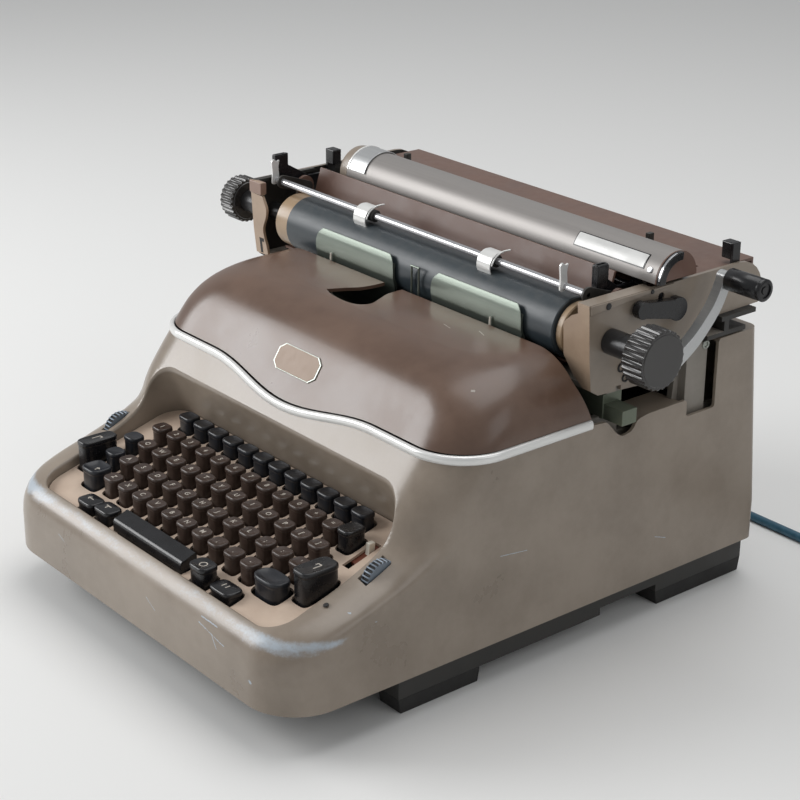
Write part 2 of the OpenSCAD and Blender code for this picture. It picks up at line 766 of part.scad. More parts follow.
// Front flange of an end plate
module end_flange() {
    across(carriage_half - flange_w, carriage_half) polygon([[257, plate_top], [259.5, 214], [262, 192],
        [264.5, 192], [262, 214], [259.5, plate_top]]);
}

module right_end_plate() {
    w = carriage_half;
    color("#8d8376") on_carriage() difference() {
        union() {
            end_plate_body(11);
            intersection() {
                end_flange();
                translate([0, 270, 0]) rotate([90, 0, 0]) linear_extrude(20) polygon([[w, plate_top],
                    [w - 11, plate_top], [w - 11, 246], [w - 17, 243], [w - flange_w, 236], [w - flange_w, 212],
                    [w - 16, 199], [w - 5, 190], [w, 190]]);
            }
        }
        rod(4 + fit, plate_in - 1, carriage_half + 1, lever_pivot[0], lever_pivot[1]);
        rod(2.5 + fit, plate_in - 1, carriage_half + 1, selector[0], selector[1]);
        rod(2 + fit, plate_in - 1, carriage_half + 1, catch_right[0], catch_right[1]);
    }
}

module left_end_plate() {
    color("#8d8376") on_carriage() mirror([1, 0, 0]) difference() {
        union() {
            end_plate_body(6);
            end_flange();
        }
        rod(2 + fit, plate_in - 1, carriage_half + 1, catch_left[0], catch_left[1]);
        box([carriage_half - 20, carriage_half - 11], [250, 270], [203, 214]);
    }
}

module paper_table() {
    inner = platen_r + 2;
    lean = 16;
    steps = 24;
    arc = [for (i = [0 : steps]) let (a = -100 + (100 + lean) * i / steps) [cos(a), sin(a)]];
    centre = [platen_y, platen_z];
    end = [310, 260];
    side = sheet * [cos(lean), -sin(lean)];
    color("#5a4a40") on_carriage() {
        across(24 - carriage_half, carriage_half - 29.5)
            polygon(concat([for (a = arc) centre + inner * a], [end, end + side],
                [for (i = [steps : -1 : 0]) centre + (inner + sheet) * arc[i]]));
        for (x = [-140, -50, 50, 140]) {
            box([x, x + 6], [platen_y - 2, platen_y + 14], [bed_top + 0.2, platen_z - inner - sheet / 2]);
        }
    }
}

module paper_rail() {
    color("#b4b6b5") on_carriage() {
        across(-rail_left, rail_right) intersection() {
            translate([rail_y, rail_z]) difference() {
                circle(rail_r);
                circle(rail_r - rail_t);
            }
            translate([rail_y - 40, rail_z]) square([80, 40]);
        }
        for (x = [-rail_left, rail_half - 1.5, rail_right - 1.5]) {
            across(x, x + 1.5) intersection() {
                translate([rail_y, rail_z]) circle(rail_r - 0.5);
                translate([rail_y - 40, rail_z]) square([80, 40]);
            }
        }
        for (leg = [[-rail_left, 1], [rail_half, -1]]) translate([leg[0], 0, 0]) scale([leg[1], 1, 1]) {
            box([0, 6], [rail_y - 4, rail_y + 6], [209, rail_z + 4]);
            box([0, 14], [rail_y - 4, rail_y + 30], [post_z + 4.6, 210]);
        }
    }
}

module platen_rubber() {
    color("#3f4650") on_carriage() difference() {
        rod(platen_r, rubber[0], rubber[1], platen_y, platen_z);
        rod(shaft_r + 0.2, rubber[0] - 1, rubber[1] + 1, platen_y, platen_z);
    }
}

module platen_shaft() {
    collar = rubber[0] - 0.2;
    color("#6a6c6e") on_carriage() {
        rod(shaft_r, knob_left[0] + 2, knob_right[1] - 2, platen_y, platen_z);
        rod(platen_r - 1, collar - collar_w, collar, platen_y, platen_z);
        rod(shaft_r + 2, carriage_half + slide_gap, knob_right[0] - 0.2, platen_y, platen_z);
        rod(shaft_r + 2, knob_left[1] + 0.2, -carriage_half - slide_gap, platen_y, platen_z);
    }
}

// Platen knob: ribbed rim, open inside on its outer face, with a hub
module knob(x, r) {
    w = x[1] - x[0];
    color("#35322f") on_carriage() translate([x[0], platen_y, platen_z]) difference() {
        union() {
            difference() {
                ribbed_wheel(r, w, knob_ribs, shaft_r + 0.2);
                rotate([0, 90, 0]) translate([0, 0, x[0] > 0 ? w - 2 : -1]) cylinder(r = r - 4, h = 3);
            }
            rotate([0, 90, 0]) difference() {
                cylinder(r = shaft_r + 4, h = w);
                translate([0, 0, -1]) cylinder(r = shaft_r + 0.2, h = w + 2);
            }
        }
    }
}

module platen_knob_left() {
    knob(knob_left, knob_left_r);
}

module platen_knob_right() {
    knob(knob_right, knob_r);
}

bail_rollers = [-73.5, 58];
bail_wings = [[-carriage_half + 19, -carriage_half + 21], [carriage_half - 43.5, carriage_half - 40.5]];
roller_w = 14;

module paper_bail() {
    arm = bail_pivot - [bail_y, bail_z];
    reach = norm(arm);
    lean = atan2(arm[1], arm[0]);
    color("#c4c7c9") on_carriage() {
        rod(bail_r, -bail_arm_x - bail_arm_t, bail_arm_x + bail_arm_t, bail_y, bail_z);
        both_sides() {
            across(bail_arm_x, bail_arm_x + bail_arm_t) translate([bail_y, bail_z]) {
                rotate(lean) translate([0, -4]) square([reach, 8]);
                circle(6);
                translate([reach * cos(lean), reach * sin(lean)]) circle(5);
            }
            rod(2.5, bail_arm_x + bail_arm_t - 0.5, bail_bracket_x + 3, bail_pivot[0], bail_pivot[1]);
        }
        for (x = bail_wings) across(x[0], x[1]) {
            translate([bail_y, bail_z]) polygon([[-4, -3], [4, -3], [7, 15], [-3, 17]]);
        }
        for (x = bail_rollers, e = [-3, roller_w + 0.6]) {
            rod(bail_r + 2, x + e, x + e + 2.4, bail_y, bail_z);
        }
    }
}

module bail_roller(x) {
    color("#26282b") on_carriage() difference() {
        rod(roller_r, x, x + roller_w, bail_y, bail_z);
        rod(bail_r + fit, x - 1, x + roller_w + 1, bail_y, bail_z);
    }
}

module bail_roller_left() {
    bail_roller(bail_rollers[0]);
}

module bail_roller_right() {
    bail_roller(bail_rollers[1]);
}

// Outline that runs along a line of points with a half width that goes from a to b
function along(pts, i) = let (d = pts[min(i + 1, len(pts) - 1)] - pts[max(i - 1, 0)]) [-d[1], d[0]] / norm(d);
module ribbon(pts, a, b) {
    n = len(pts) - 1;
    polygon(concat([for (i = [0 : n]) pts[i] + along(pts, i) * (a + (b - a) * i / n)],
        [for (i = [n : -1 : 0]) pts[i] - along(pts, i) * (a + (b - a) * i / n)]));
}

module return_lever() {
    tip = lever_line[len(lever_line) - 1];
    color("#c9cccd") on_carriage() {
        across(lever_x[0], lever_x[1]) {
            ribbon(curve(lever_line, 3), 5.4, 4.2);
            translate(lever_pivot) circle(8);
            translate(tip) circle(5);
        }
        rod(8, carriage_half + slide_gap, lever_x[1], lever_pivot[0], lever_pivot[1]);
        rod(4, plate_in + 0.3, lever_x[0], lever_pivot[0], lever_pivot[1]);
        rod(3, lever_x[1] - 1, handle_end - 10, tip[0], tip[1]);
    }
}

module lever_handle() {
    tip = lever_line[len(lever_line) - 1];
    l = handle_end - lever_x[1] - 0.3;
    color("#1f1f20") on_carriage() translate([lever_x[1] + 0.3, tip[0], tip[1]]) rotate([0, 90, 0])
        rotate_extrude() polygon([[3.1, 0], [handle_r - 1, 0], [handle_r, 1.5], [handle_r - 1.2, l * 0.45],
            [handle_r - 1, l - 5], [handle_r, l - 4], [handle_r, l - 1], [handle_r - 1, l], [4, l], [4, l - 2],
            [3.1, l - 2]]);
}

// Lever of the paper release from its shaft to the head, with the head's middle and size
module release_lever(x, head, size) {
    across(x, x + 3) {
        ribbon([[release_y, release_z], [306, 247], head], 5, 4);
        translate([release_y, release_z]) circle(7);
        translate(head) square(size, center = true);
    }
}

module paper_release() {
    color("#2c2b2b") on_carriage() {
        rod(release_r, -plate_in - 2, plate_in + 2, release_y, release_z);
        release_lever(release_x, [291.5, 258], [11, 24]);
        release_lever(release_left, [280.5, 262.5], [13, 21]);
    }
}

// Carriage release: a lever inside an end plate that rises over its top edge
module catch_lever(at) {
    arm_x = plate_in - slide_gap - 2.5;
    top = plate_top + 14;
    across(arm_x, plate_in - slide_gap) {
        translate(at) circle(7);
        translate([at[0] - 4, at[1]]) square([8, top - at[1]]);
    }
    rod(2, plate_in - 1, carriage_half - 0.2, at[0], at[1]);
    rod(2, arm_x, plate_in, at[0], at[1]);
    box([arm_x - 8, plate_in - slide_gap], [at[0] - 4, at[0] + 4], [top - 3, top]);
}

module carriage_release_left() {
    color("#2c2b2b") on_carriage() mirror([1, 0, 0]) catch_lever(catch_left);
}

module carriage_release_right() {
    color("#2c2b2b") on_carriage() catch_lever(catch_right);
}

module line_selector() {
    out = carriage_half + 2;
    tip = selector + [-34, 6];
    color("#1d1d1e") on_carriage() {
        across(out, out + 6) {
            ribbon([selector, selector + [-17, 3], tip], 7, 5.5);
            translate(selector) circle(8.5);
            translate(tip) circle(6.2);
        }
        rod(2.5, plate_in + 0.3, out + 1, selector[0], selector[1]);
    }
}

// Margin stop: a saddle that slides on the margin bar, with a tab for the finger
module margin_stop(x) {
    inner = margin_h / 2 + slide_gap;
    outer = inner + 1.8;
    color("#2a2a2a") on_carriage() {
        across(x - 5, x + 5) translate([margin_y, margin_z]) difference() {
            translate([-outer, -outer]) square(2 * outer);
            translate([-inner, -inner]) square(2 * inner);
        }
        box([x - 2, x + 2], [margin_y - 1, margin_y + 4], [margin_z + inner + 0.5, plate_top + 12]);
    }
}

module margin_stop_left() {
    margin_stop(-142);
}

module margin_stop_right() {
    margin_stop(131);
}

module paper_guide() {
    grip = rail_r + slide_gap;
    color("#c8cbcd") on_carriage() across(10 - rail_left, 41 - rail_left) intersection() {
        translate([rail_y, rail_z]) difference() {
            circle(grip + 1.5);
            circle(grip);
        }
        translate([rail_y - 40, rail_z + 6]) square([80, 40]);
    }
}

// Key with a dished top and skirts that go down through the plate, on a stem
module key(size, dish, spot) {
    w = size[0];
    d = size[1];
    low = plate_z(spot[1] - d / 2) - skirt_below;
    h = spot[2] - low;
    translate(spot) difference() {
        intersection() {
            translate([-w / 2, -d / 2, -h]) cube([w, d, h]);
            translate([0, 0, -h]) cylinder(r = norm([w, d]) / 2 - 1.4, h = h);
        }
        translate([0, 0, dish * 20 - 0.9]) sphere(dish * 20);
    }
    key_stem([spot[0], spot[1], low + 1]);
}

// Stem that goes on down from a key's skirts to its lever
module key_stem(top) {
    low = plate_z(top[1]) - stem_below;
    translate([top[0] - stem[0] / 2, top[1] - stem[1] / 2, low]) cube([stem[0], stem[1], top[2] - low]);
}

module key_row(spots, tint) {
    color(tint) place() for (s = spots) {
        key([key_w, key_d], 1, s);
    }
}

module bottom_row_keys() {
    key_row(row_spots(0), "#574237");
}

module home_row_keys() {
    key_row(row_spots(1), "#574237");
}

module upper_row_keys() {
    key_row(row_spots(2), "#574237");
}

module number_row_keys() {
    key_row(row_spots(3), "#574237");
}

module function_keys() {
    color("#2e3238") place() for (s = function_spots) {
        key(function_size, 1.2, s);
    }
}

module side_keys() {
    key_row(side_spots, "#26272a");
}

module tall_key() {
    color("#26272a") place() key([key_w, tall_d], 1.2, tall_number);
}

module shift_key_left() {
    color("#26272a") place() key(shift_left_size, 1.1, shift_left_spot);
}

module shift_key_right() {
    color("#26272a") place() key(shift_right_size, 1.4, shift_right_spot);
}

module lock_key_left() {
    color("#26272a") place() key(lock_left_size, 2, lock_left_spot);
}

module lock_key_right() {
    color("#26272a") place() key(lock_right_size, 2, lock_right_spot);
}

module tab_keys() {
    color("#26272a") place() for (s = tab_spots) {
        key(tab_size, 1, s);
    }
}

module ring_key() {
    color("#26272a") place() key(ring_size, 1, ring_spot);
}

module end_key() {
    color("#26272a") place() key(end_size, 1, end_spot);
}

module space_bar() {
    y0 = space_y[0];
    y1 = space_y[1];
    r = 3.5;
    low = plate_z(y0) - skirt_below;
    nose = [for (a = [180 : -15 : 90]) [y0 + r + r * cos(a), space_top[0] - r + r * sin(a)]];
    color("#232326") place() {
        across(space_x[0], space_x[1]) polygon(concat(nose, [[y1 - 2, space_top[1]], [y1, space_top[1] - 2],
            [y1, low], [y0, low]]));
        for (s = space_stems) {
            key_stem([s[0], s[1], low + 1]);
        }
    }
}

module strain_relief() {
    color("#2a3a44") place() translate([cord_exit[0], 0, cord_exit[1]]) rotate([-90, 0, 0]) rotate_extrude()
        polygon([[cord_r + 0.3, body_depth - 6], [7, body_depth - 6], [7, relief_y], [11, relief_y],
            [11, relief_y + 3], [8, relief_y + 4], [cord_r + 1.6, relief_y + relief_l],
            [cord_r + 0.3, relief_y + relief_l]]);
}

// Round tube along a line of points
function heading(pts, i) = let (d = pts[min(i + 1, len(pts) - 1)] - pts[max(i - 1, 0)]) d / norm(d);
function tube_ring(pts, i, r, n) = let (t = heading(pts, i), s = cross(t, [0, 0, 1]) / norm(cross(t, [0, 0, 1])),
    u = cross(s, t)) [for (k = [0 : n - 1]) pts[i] + r * (cos(360 * k / n) * s + sin(360 * k / n) * u)];
module tube(pts, r, n) {
    loft([for (i = [0 : len(pts) - 1]) tube_ring(pts, i, r, n)]);
}

module power_cord() {
    color("#3f6f86") place() tube(concat([route[0]], curve([for (i = [1 : len(route) - 2]) route[i]], 3),
        [route[len(route) - 1]]), cord_r, 10);
}

module cord_coil() {
    color("#3f6f86") place() tube(coil_path, cord_r, 6);
}

module power_plug() {
    start = plug_at + [0.01, 0, 0];
    half = coil_last[2] - 0.2;
    color("#2a3a44") place() translate(start) {
        rotate([0, 90, 0]) cylinder(r1 = cord_r + 1, r2 = 7, h = 14);
        translate([13, -18, -half]) cube([40, 36, 2 * half]);
        for (s = [-1, 1]) {
            translate([52, s * 9.5, 0]) rotate([0, 90, 0]) cylinder(r = 2.4, h = 19);
        }
    }
}

base_frame();
rubber_feet();
main_housing();
keyboard_plate();
trim_strip();
side_frames();
ribbon_deck();
type_basket();
card_guides();
drive_motor();
drive_belt();
top_cover();
ribbon_spool_left();
ribbon_spool_right();
motor_pulley();
power_roller();
power_switch();
thumb_wheel_left();
thumb_wheel_right();
carriage_bed();
left_end_plate();
right_end_plate();
paper_table();
paper_rail();
platen_rubber();
platen_shaft();
platen_knob_left();
platen_knob_right();
paper_bail();
bail_roller_left();
bail_roller_right();
return_lever();
lever_handle();
paper_release();
carriage_release_left();
carriage_release_right();
line_selector();
margin_stop_left();
margin_stop_right();
paper_guide();
bottom_row_keys();
home_row_keys();
upper_row_keys();
number_row_keys();
function_keys();
side_keys();
tall_key();
shift_key_left();
shift_key_right();
lock_key_left();
lock_key_right();
tab_keys();
ring_key();
end_key();
space_bar();
strain_relief();
power_cord();
cord_coil();
power_plug();
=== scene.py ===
# %% [markdown]
# An electric typewriter with a pressed steel housing. The CAD frame gives every solid its place,
# and this script dresses it: new skins for what the eye meets first, softened copies of the solids
# for the small metalwork, and a procedural finish on every piece.

# %% Load the frame
import json
import math

import bmesh
import bpy
import numpy as np
from mathutils import Matrix, Vector


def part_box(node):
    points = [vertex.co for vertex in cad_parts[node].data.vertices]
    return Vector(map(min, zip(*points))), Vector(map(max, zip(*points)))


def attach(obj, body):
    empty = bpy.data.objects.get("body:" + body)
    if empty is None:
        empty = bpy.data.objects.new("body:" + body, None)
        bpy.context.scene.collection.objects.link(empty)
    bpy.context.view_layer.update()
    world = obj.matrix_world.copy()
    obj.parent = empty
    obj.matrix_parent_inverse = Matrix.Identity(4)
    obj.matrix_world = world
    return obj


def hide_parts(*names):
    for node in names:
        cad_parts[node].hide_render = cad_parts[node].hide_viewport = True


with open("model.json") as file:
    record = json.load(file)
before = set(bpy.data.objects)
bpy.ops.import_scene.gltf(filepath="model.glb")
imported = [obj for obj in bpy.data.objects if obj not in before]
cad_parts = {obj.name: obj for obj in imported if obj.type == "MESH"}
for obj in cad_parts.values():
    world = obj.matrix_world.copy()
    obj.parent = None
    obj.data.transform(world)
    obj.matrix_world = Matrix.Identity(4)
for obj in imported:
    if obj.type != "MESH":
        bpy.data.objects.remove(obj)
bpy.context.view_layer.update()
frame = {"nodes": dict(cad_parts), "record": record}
solids = frame["nodes"]
scene = bpy.context.scene
low_corner, high_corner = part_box("main_housing")
SHIFT = np.array(((low_corner.x + high_corner.x) / 2, low_corner.y, 0.0))
REST = -21.0  # where the carriage's middle rests, from the housing's middle
body_of_node = {n: b for b, names in frame["record"]["behaviour"]["bodies"].items() for n in names}
slot_of_node = {s["node"]: s["material_slot"] for s in frame["record"]["subparts"]}


def row(points):
    """Millimetres from the housing's middle, front and table, as metres in the shared frame."""
    return np.asarray(points, float) / 1000 + SHIFT


def linked(name, data):
    """A new object in the scene, at the origin."""
    obj = bpy.data.objects.new(name, data)
    scene.collection.objects.link(obj)
    return obj


print("solids:", len(solids), "housing origin:", SHIFT)

# %% [markdown]
# The camera stands in front of the machine's right end and looks down on the keys. Its place and
# lens were fitted to the grid of keys, which stand a known distance apart.

# %% Camera
right = Vector((0.63438824, 0.77298008, 0.0073041))
up = Vector((-0.29917855, 0.23680278, 0.9243466))
ahead = Vector((-0.71277188, 0.58857985, -0.38148396))
camera = bpy.data.cameras.new("camera")
camera.sensor_fit = "HORIZONTAL"
camera.sensor_width = 36
camera.lens = 87.016
camera.clip_end = 20
viewer = linked("camera", camera)
stand = Matrix((right, up, -ahead)).transposed().to_4x4()
stand.translation = Vector((1.04028, -0.82493, 0.68277))
viewer.matrix_world = stand
scene.camera = viewer
scene.view_settings.view_transform = "Standard"
print("camera lens:", camera.lens)

# %% [markdown]
# A finish is a tree of small nodes: noise, sums, ranges and vector sums. One helper makes each kind
# of node and gives back what comes out of it, so that a finish reads like a formula.


# %% Node helpers
def feed(tree, value, socket):
    """Links what comes out of a node to a socket, or sets the socket to a plain value."""
    if hasattr(value, "is_output"):
        tree.links.new(value, socket)
    elif value is not None:
        socket.default_value = value


def group(name, output, **inputs):
    """A node group that puts out one number, with the sockets it is given and those it fills."""
    tree = bpy.data.node_groups.new(name, "ShaderNodeTree")
    for label, value in inputs.items():
        kind = "NodeSocketFloat" if isinstance(value, float) else "NodeSocketVector"
        tree.interface.new_socket(label, in_out="INPUT", socket_type=kind).default_value = value
    tree.interface.new_socket(output, in_out="OUTPUT", socket_type="NodeSocketFloat")
    return tree, tree.nodes.new("NodeGroupInput").outputs, tree.nodes.new("NodeGroupOutput").inputs


def noise(tree, vector, scale, detail=4.0, rough=0.55):
    """Cloudy noise between 0 and 1."""
    n = tree.nodes.new("ShaderNodeTexNoise")
    for label, v in (("Vector", vector), ("Scale", scale), ("Detail", detail), ("Roughness", rough)):
        feed(tree, v, n.inputs[label])
    return n.outputs["Fac"]


def maths(tree, operation, a, b, clamp=False):
    """Two numbers worked into one."""
    n = tree.nodes.new("ShaderNodeMath")
    n.operation = operation
    n.use_clamp = clamp
    feed(tree, a, n.inputs[0])
    feed(tree, b, n.inputs[1])
    return n.outputs[0]


def vectors(tree, operation, a, b=None):
    """A vector operation, which gives a number for a length or a dot product."""
    n = tree.nodes.new("ShaderNodeVectorMath")
    n.operation = operation
    feed(tree, a, n.inputs[0])
    feed(tree, b, n.inputs["Scale"] if operation == "SCALE" else n.inputs[1])
    return n.outputs["Value" if operation in ("LENGTH", "DOT_PRODUCT") else "Vector"]


def ranged(tree, value, a, b, c=0.0, d=1.0):
    """A value between a and b carried over to c and d along a smooth step."""
    n = tree.nodes.new("ShaderNodeMapRange")
    n.interpolation_type = "SMOOTHSTEP"
    for label, v in zip(("Value", "From Min", "From Max", "To Min", "To Max"), (value, a, b, c, d)):
        feed(tree, v, n.inputs[label])
    return n.outputs["Result"]


print("node helpers ready")

# %% [markdown]
# The finishes share a few effects, each of them a node group that is built once: mottled paint,
# a scored line, a rubbed edge, fine grain for bumps, and the long streaks of drawn metal. A group
# only gives masks and values, and each material mixes its own colours with them.

# %% Effect groups
ZERO = (0, 0, 0)
mottle, given, out = group("mottle", "Fac", Vector=ZERO, Scale=40.0)
wide = noise(mottle, given["Vector"], given["Scale"], 3.0)
fine = noise(mottle, given["Vector"], maths(mottle, "MULTIPLY", given["Scale"], 9.0), 4.0, 0.65)
blend = maths(mottle, "ADD", maths(mottle, "MULTIPLY", wide, 0.8), maths(mottle, "MULTIPLY", fine, 0.2))
mottle.links.new(ranged(mottle, blend, 0.28, 0.72), out[0])

grain, given, out = group("grain", "Height", Vector=ZERO, Scale=900.0)
grain.links.new(noise(grain, given["Vector"], given["Scale"], 3.0, 0.6), out[0])

streaks, given, out = group("streaks", "Fac", Vector=ZERO, Stretch=(30, 900, 900))
pulled = vectors(streaks, "MULTIPLY", given["Vector"], given["Stretch"])
streaks.links.new(noise(streaks, pulled, 1.0, 4.0, 0.6), out[0])

scored, given, out = group("scored line", "Mask", Vector=ZERO, Start=ZERO, End=(0, 0, 1), Width=0.0005)
to_point = vectors(scored, "SUBTRACT", given["Vector"], given["Start"])
whole = vectors(scored, "SUBTRACT", given["End"], given["Start"])
shares = [vectors(scored, "DOT_PRODUCT", v, whole) for v in (to_point, whole)]
share = maths(scored, "DIVIDE", *shares, True)
away = vectors(scored, "LENGTH", vectors(scored, "SUBTRACT", to_point, vectors(scored, "SCALE", whole, share)))
ragged = ranged(scored, noise(scored, given["Vector"], 700.0, 5.0, 0.75), 0.25, 0.75, 0.2, 1.6)
ratio = maths(scored, "DIVIDE", away, maths(scored, "MULTIPLY", given["Width"], ragged))
scored.links.new(ranged(scored, ratio, 0.5, 1.1, 1.0, 0.0), out[0])

rubbed, given, out = group("rubbed edge", "Mask", Vector=ZERO, Amount=0.0)
smear = vectors(rubbed, "MULTIPLY", given["Vector"], (60, 60, 160))
broad = maths(rubbed, "MULTIPLY", noise(rubbed, smear, 1.0, 3.0, 0.6), 0.9)
fine = maths(rubbed, "MULTIPLY", noise(rubbed, given["Vector"], 520.0, 5.0, 0.75), 0.5)
patchy = maths(rubbed, "SUBTRACT", maths(rubbed, "ADD", broad, fine), 0.72)
rubbed.links.new(ranged(rubbed, maths(rubbed, "ADD", given["Amount"], patchy), 0.38, 1.0), out[0])
print("effect groups:", [t.name for t in bpy.data.node_groups])

# %% [markdown]
# Paint, plastic, rubber and metal differ in colour, gloss and grain. One function lays down the
# common parts: two close colours mixed by the mottle, a roughness that wanders with it, and a bump
# from the grain. Dust settles on faces that look up, and worn patches show the metal.


# %% Finishes
def linear(r, g, b):
    """Colour as it shows on a screen, from 0 to 255, turned into light."""
    c = np.array((r, g, b)) / 255
    return tuple(np.where(c <= 0.04045, c / 12.92, ((c + 0.055) / 1.055) ** 2.4)) + (1.0,)


def blended(tree, fac, a, b):
    """Two colours mixed by a share."""
    n = tree.nodes.new("ShaderNodeMix")
    n.data_type = "RGBA"
    for k, v in ((0, fac), (6, a), (7, b)):
        feed(tree, v, n.inputs[k])
    return n.outputs[2]


def use(tree, effect, vector, **values):
    """What an effect group gives at each place."""
    n = tree.nodes.new("ShaderNodeGroup")
    n.node_tree = effect
    for label, v in dict(values, Vector=vector).items():
        feed(tree, v, n.inputs[label])
    return n.outputs[0]


COAT_ROUGH, BUMP_DEPTH = 0.18, 0.0004


def finish(name, dark, light, rough, metal=0.0, spread=0.08, scale=40.0, bump=0.05, bump_scale=900.0, coat=0.0,
        specular=0.5, stretch=None, dust=0.0, scores=(), rim=False, bare_tint=(174, 187, 199)):
    """A finish of two mixed colours with roughness between rough-spread and rough+spread."""
    m = bpy.data.materials.new(name)
    m.use_nodes = True
    t = m.node_tree
    shader = t.nodes["Principled BSDF"]
    where = t.nodes.new("ShaderNodeTexCoord").outputs["Object"]
    fac = use(t, streaks, where, Stretch=stretch) if stretch else use(t, mottle, where, Scale=scale)
    colour = blended(t, fac, linear(*dark), linear(*light))
    roughness = ranged(t, fac, 0.0, 1.0, max(rough - spread, 0.04), rough + spread)
    if dust:
        face = t.nodes.new("ShaderNodeNewGeometry")
        split = t.nodes.new("ShaderNodeSeparateXYZ")
        t.links.new(face.outputs["Normal"], split.inputs[0])
        lying = ranged(t, split.outputs["Z"], 0.35, 0.95)
        settled = maths(t, "MULTIPLY", maths(t, "MULTIPLY", lying, use(t, mottle, where, Scale=150.0)), dust)
        colour = blended(t, settled, colour, linear(196, 186, 172))
    bare = None
    if rim:
        edge = t.nodes.new("ShaderNodeAttribute")
        edge.attribute_name = "rim"
        bare = maths(t, "MULTIPLY", use(t, rubbed, where, Amount=edge.outputs["Fac"]), 0.8)
    for start, end, width in scores:
        line = use(t, scored, where, Start=tuple(row(start)), End=tuple(row(end)), Width=width / 1000)
        mask = maths(t, "MULTIPLY", line, 0.85)
        bare = mask if bare is None else maths(t, "MAXIMUM", bare, mask)
    if bare is not None:
        colour = blended(t, bare, colour, linear(*bare_tint))
        roughness = maths(t, "ADD", roughness, maths(t, "MULTIPLY", bare, 0.12))
    relief = t.nodes.new("ShaderNodeBump")
    relief.inputs["Strength"].default_value = bump
    relief.inputs["Distance"].default_value = BUMP_DEPTH
    t.links.new(fac if stretch else use(t, grain, where, Scale=bump_scale), relief.inputs["Height"])
    for label, value in (("Base Color", colour), ("Roughness", roughness), ("Metallic", metal),
            ("Specular IOR Level", specular), ("Coat Weight", coat), ("Coat Roughness", COAT_ROUGH),
            ("Normal", relief.outputs["Normal"])):
        feed(t, value, shader.inputs[label])
    return m


def drawn(name, dark, light, rough, metal, spread, bump, *stretch):
    """Metal with long streaks, stretched along x, y and z."""
    return finish(name, dark, light, rough, metal, spread, bump=bump, stretch=stretch)


def key_plastic(name, dark, light, rough, spread, coat):
    """Smooth plastic with a thin gloss."""
    return finish(name, dark, light, rough, 0.0, spread, 90, 0.01, coat=coat, specular=0.4)


print("finish functions ready")

# %% [markdown]
# Each finish has two colours as they show on a screen, its roughness and what sets it apart. A score
# is a scratch in the paint, with its two ends and its width in millimetres.

# %% All finishes
housing_scores = [((83.4, 3.1, 71.5), (101.2, 2.9, 71.1), 0.55), ((82.3, 1.6, 67.3), (112.2, 0.5, 62.4), 0.5),
    ((97, 0.6, 66), (104, 0, 57), 0.4), ((170, 30.6, 81.5), (177, 74.1, 83.2), 0.35),
    ((140, 0.1, 50.1), (141.5, 0.1, 49), 1.3), ((169.3, 57.7, 91.7), (169.8, 58.5, 91.7), 0.9),
    ((-96, 0.4, 62), (-88, 0.2, 59), 0.35), ((20, 0.2, 60), (31, 0, 54), 0.3),
    ((177, 180, 96), (177, 204, 93), 0.3), ((-177, 150, 120), (-177, 178, 112), 0.35),
    ((-177, 260, 70), (-177, 262, 68), 1.0), ((177, 330, 64), (177, 341, 60), 0.35),
    ((150, 1.2, 60), (151, 1.4, 59.5), 0.8), ((158, 4.4, 58), (161, 6, 56.6), 0.5),
    ((147, 0.3, 38), (158, 3, 36.5), 0.3)]
cover_scores = [((148.1, 176.7, 206.4), (148.8, 177.6, 206.4), 1.1),
    ((-120, 181, 211), (-116, 183, 211.6), 0.7), ((-129, 186, 208), (-127, 188, 208.5), 0.8),
    ((62, 226, 217), (71, 224, 217), 0.5), ((88, 236, 217), (96, 233, 217), 0.5)]
housing_paint = finish("taupe housing paint", (125, 113, 100), (146, 134, 121), 0.33, spread=0.06, scale=17,
    bump=0.03, bump_scale=600, coat=0.25, scores=housing_scores, rim=True)
cover_paint = finish("brown cover paint", (87, 66, 54), (105, 82, 68), 0.33, spread=0.06, scale=16, bump=0.03,
    bump_scale=600, coat=0.22, scores=cover_scores, bare_tint=(170, 164, 156))
plate_paint = finish("beige plate paint", (184, 163, 145), (197, 177, 159), 0.5, scale=45, bump=0.06, dust=0.08)
flange_paint = finish("tan bracket paint", (158, 136, 116), (172, 150, 129), 0.4, scale=45, coat=0.15)
collar_paint = finish("collar varnish", (150, 126, 98), (164, 140, 112), 0.36, scale=60, coat=0.2)
bar_steel = drawn("dull bar steel", (98, 105, 91), (114, 121, 106), 0.38, 0.45, 0.05, 0.04, 16, 500, 500)
rod_steel = drawn("bright rod steel", (178, 178, 181), (194, 194, 197), 0.22, 0.7, 0.05, 0.02, 14, 800, 800)
bracket_paint = finish("brown bracket paint", (132, 106, 93), (144, 118, 104), 0.4, scale=45, coat=0.15)
frame_paint = finish("grey frame paint", (126, 120, 112), (140, 134, 126), 0.42, scale=50, bump=0.06)
trim_metal = drawn("polished trim", (222, 222, 220), (236, 236, 234), 0.22, 0.3, 0.05, 0.02, 40, 40, 900)
dark_metal = finish("dark painted steel", (38, 37, 35), (50, 48, 45), 0.46, scale=60, bump=0.08, dust=0.06)
steel = drawn("bare steel", (142, 147, 141), (176, 180, 172), 0.36, 0.8, 0.08, 0.06, 30, 700, 700)
guide_steel = drawn("green tinged steel", (112, 120, 112), (132, 140, 131), 0.32, 0.75, 0.04, 0.008,
    16, 500, 500)
rubber = finish("black rubber", (28, 27, 26), (36, 35, 34), 0.68, scale=90, bump=0.2, bump_scale=1400)
platen_rubber = finish("platen rubber", (44, 52, 57), (57, 65, 70), 0.4, stretch=(50, 260, 260), dust=0.04)
brown_key = key_plastic("brown key plastic", (55, 42, 36), (66, 52, 45), 0.36, 0.05, 0.12)
black_key = key_plastic("black key plastic", (20, 20, 22), (26, 26, 29), 0.28, 0.04, 0.15)
grey_key = key_plastic("slate key plastic", (28, 30, 35), (38, 40, 45), 0.34, 0.05, 0.12)
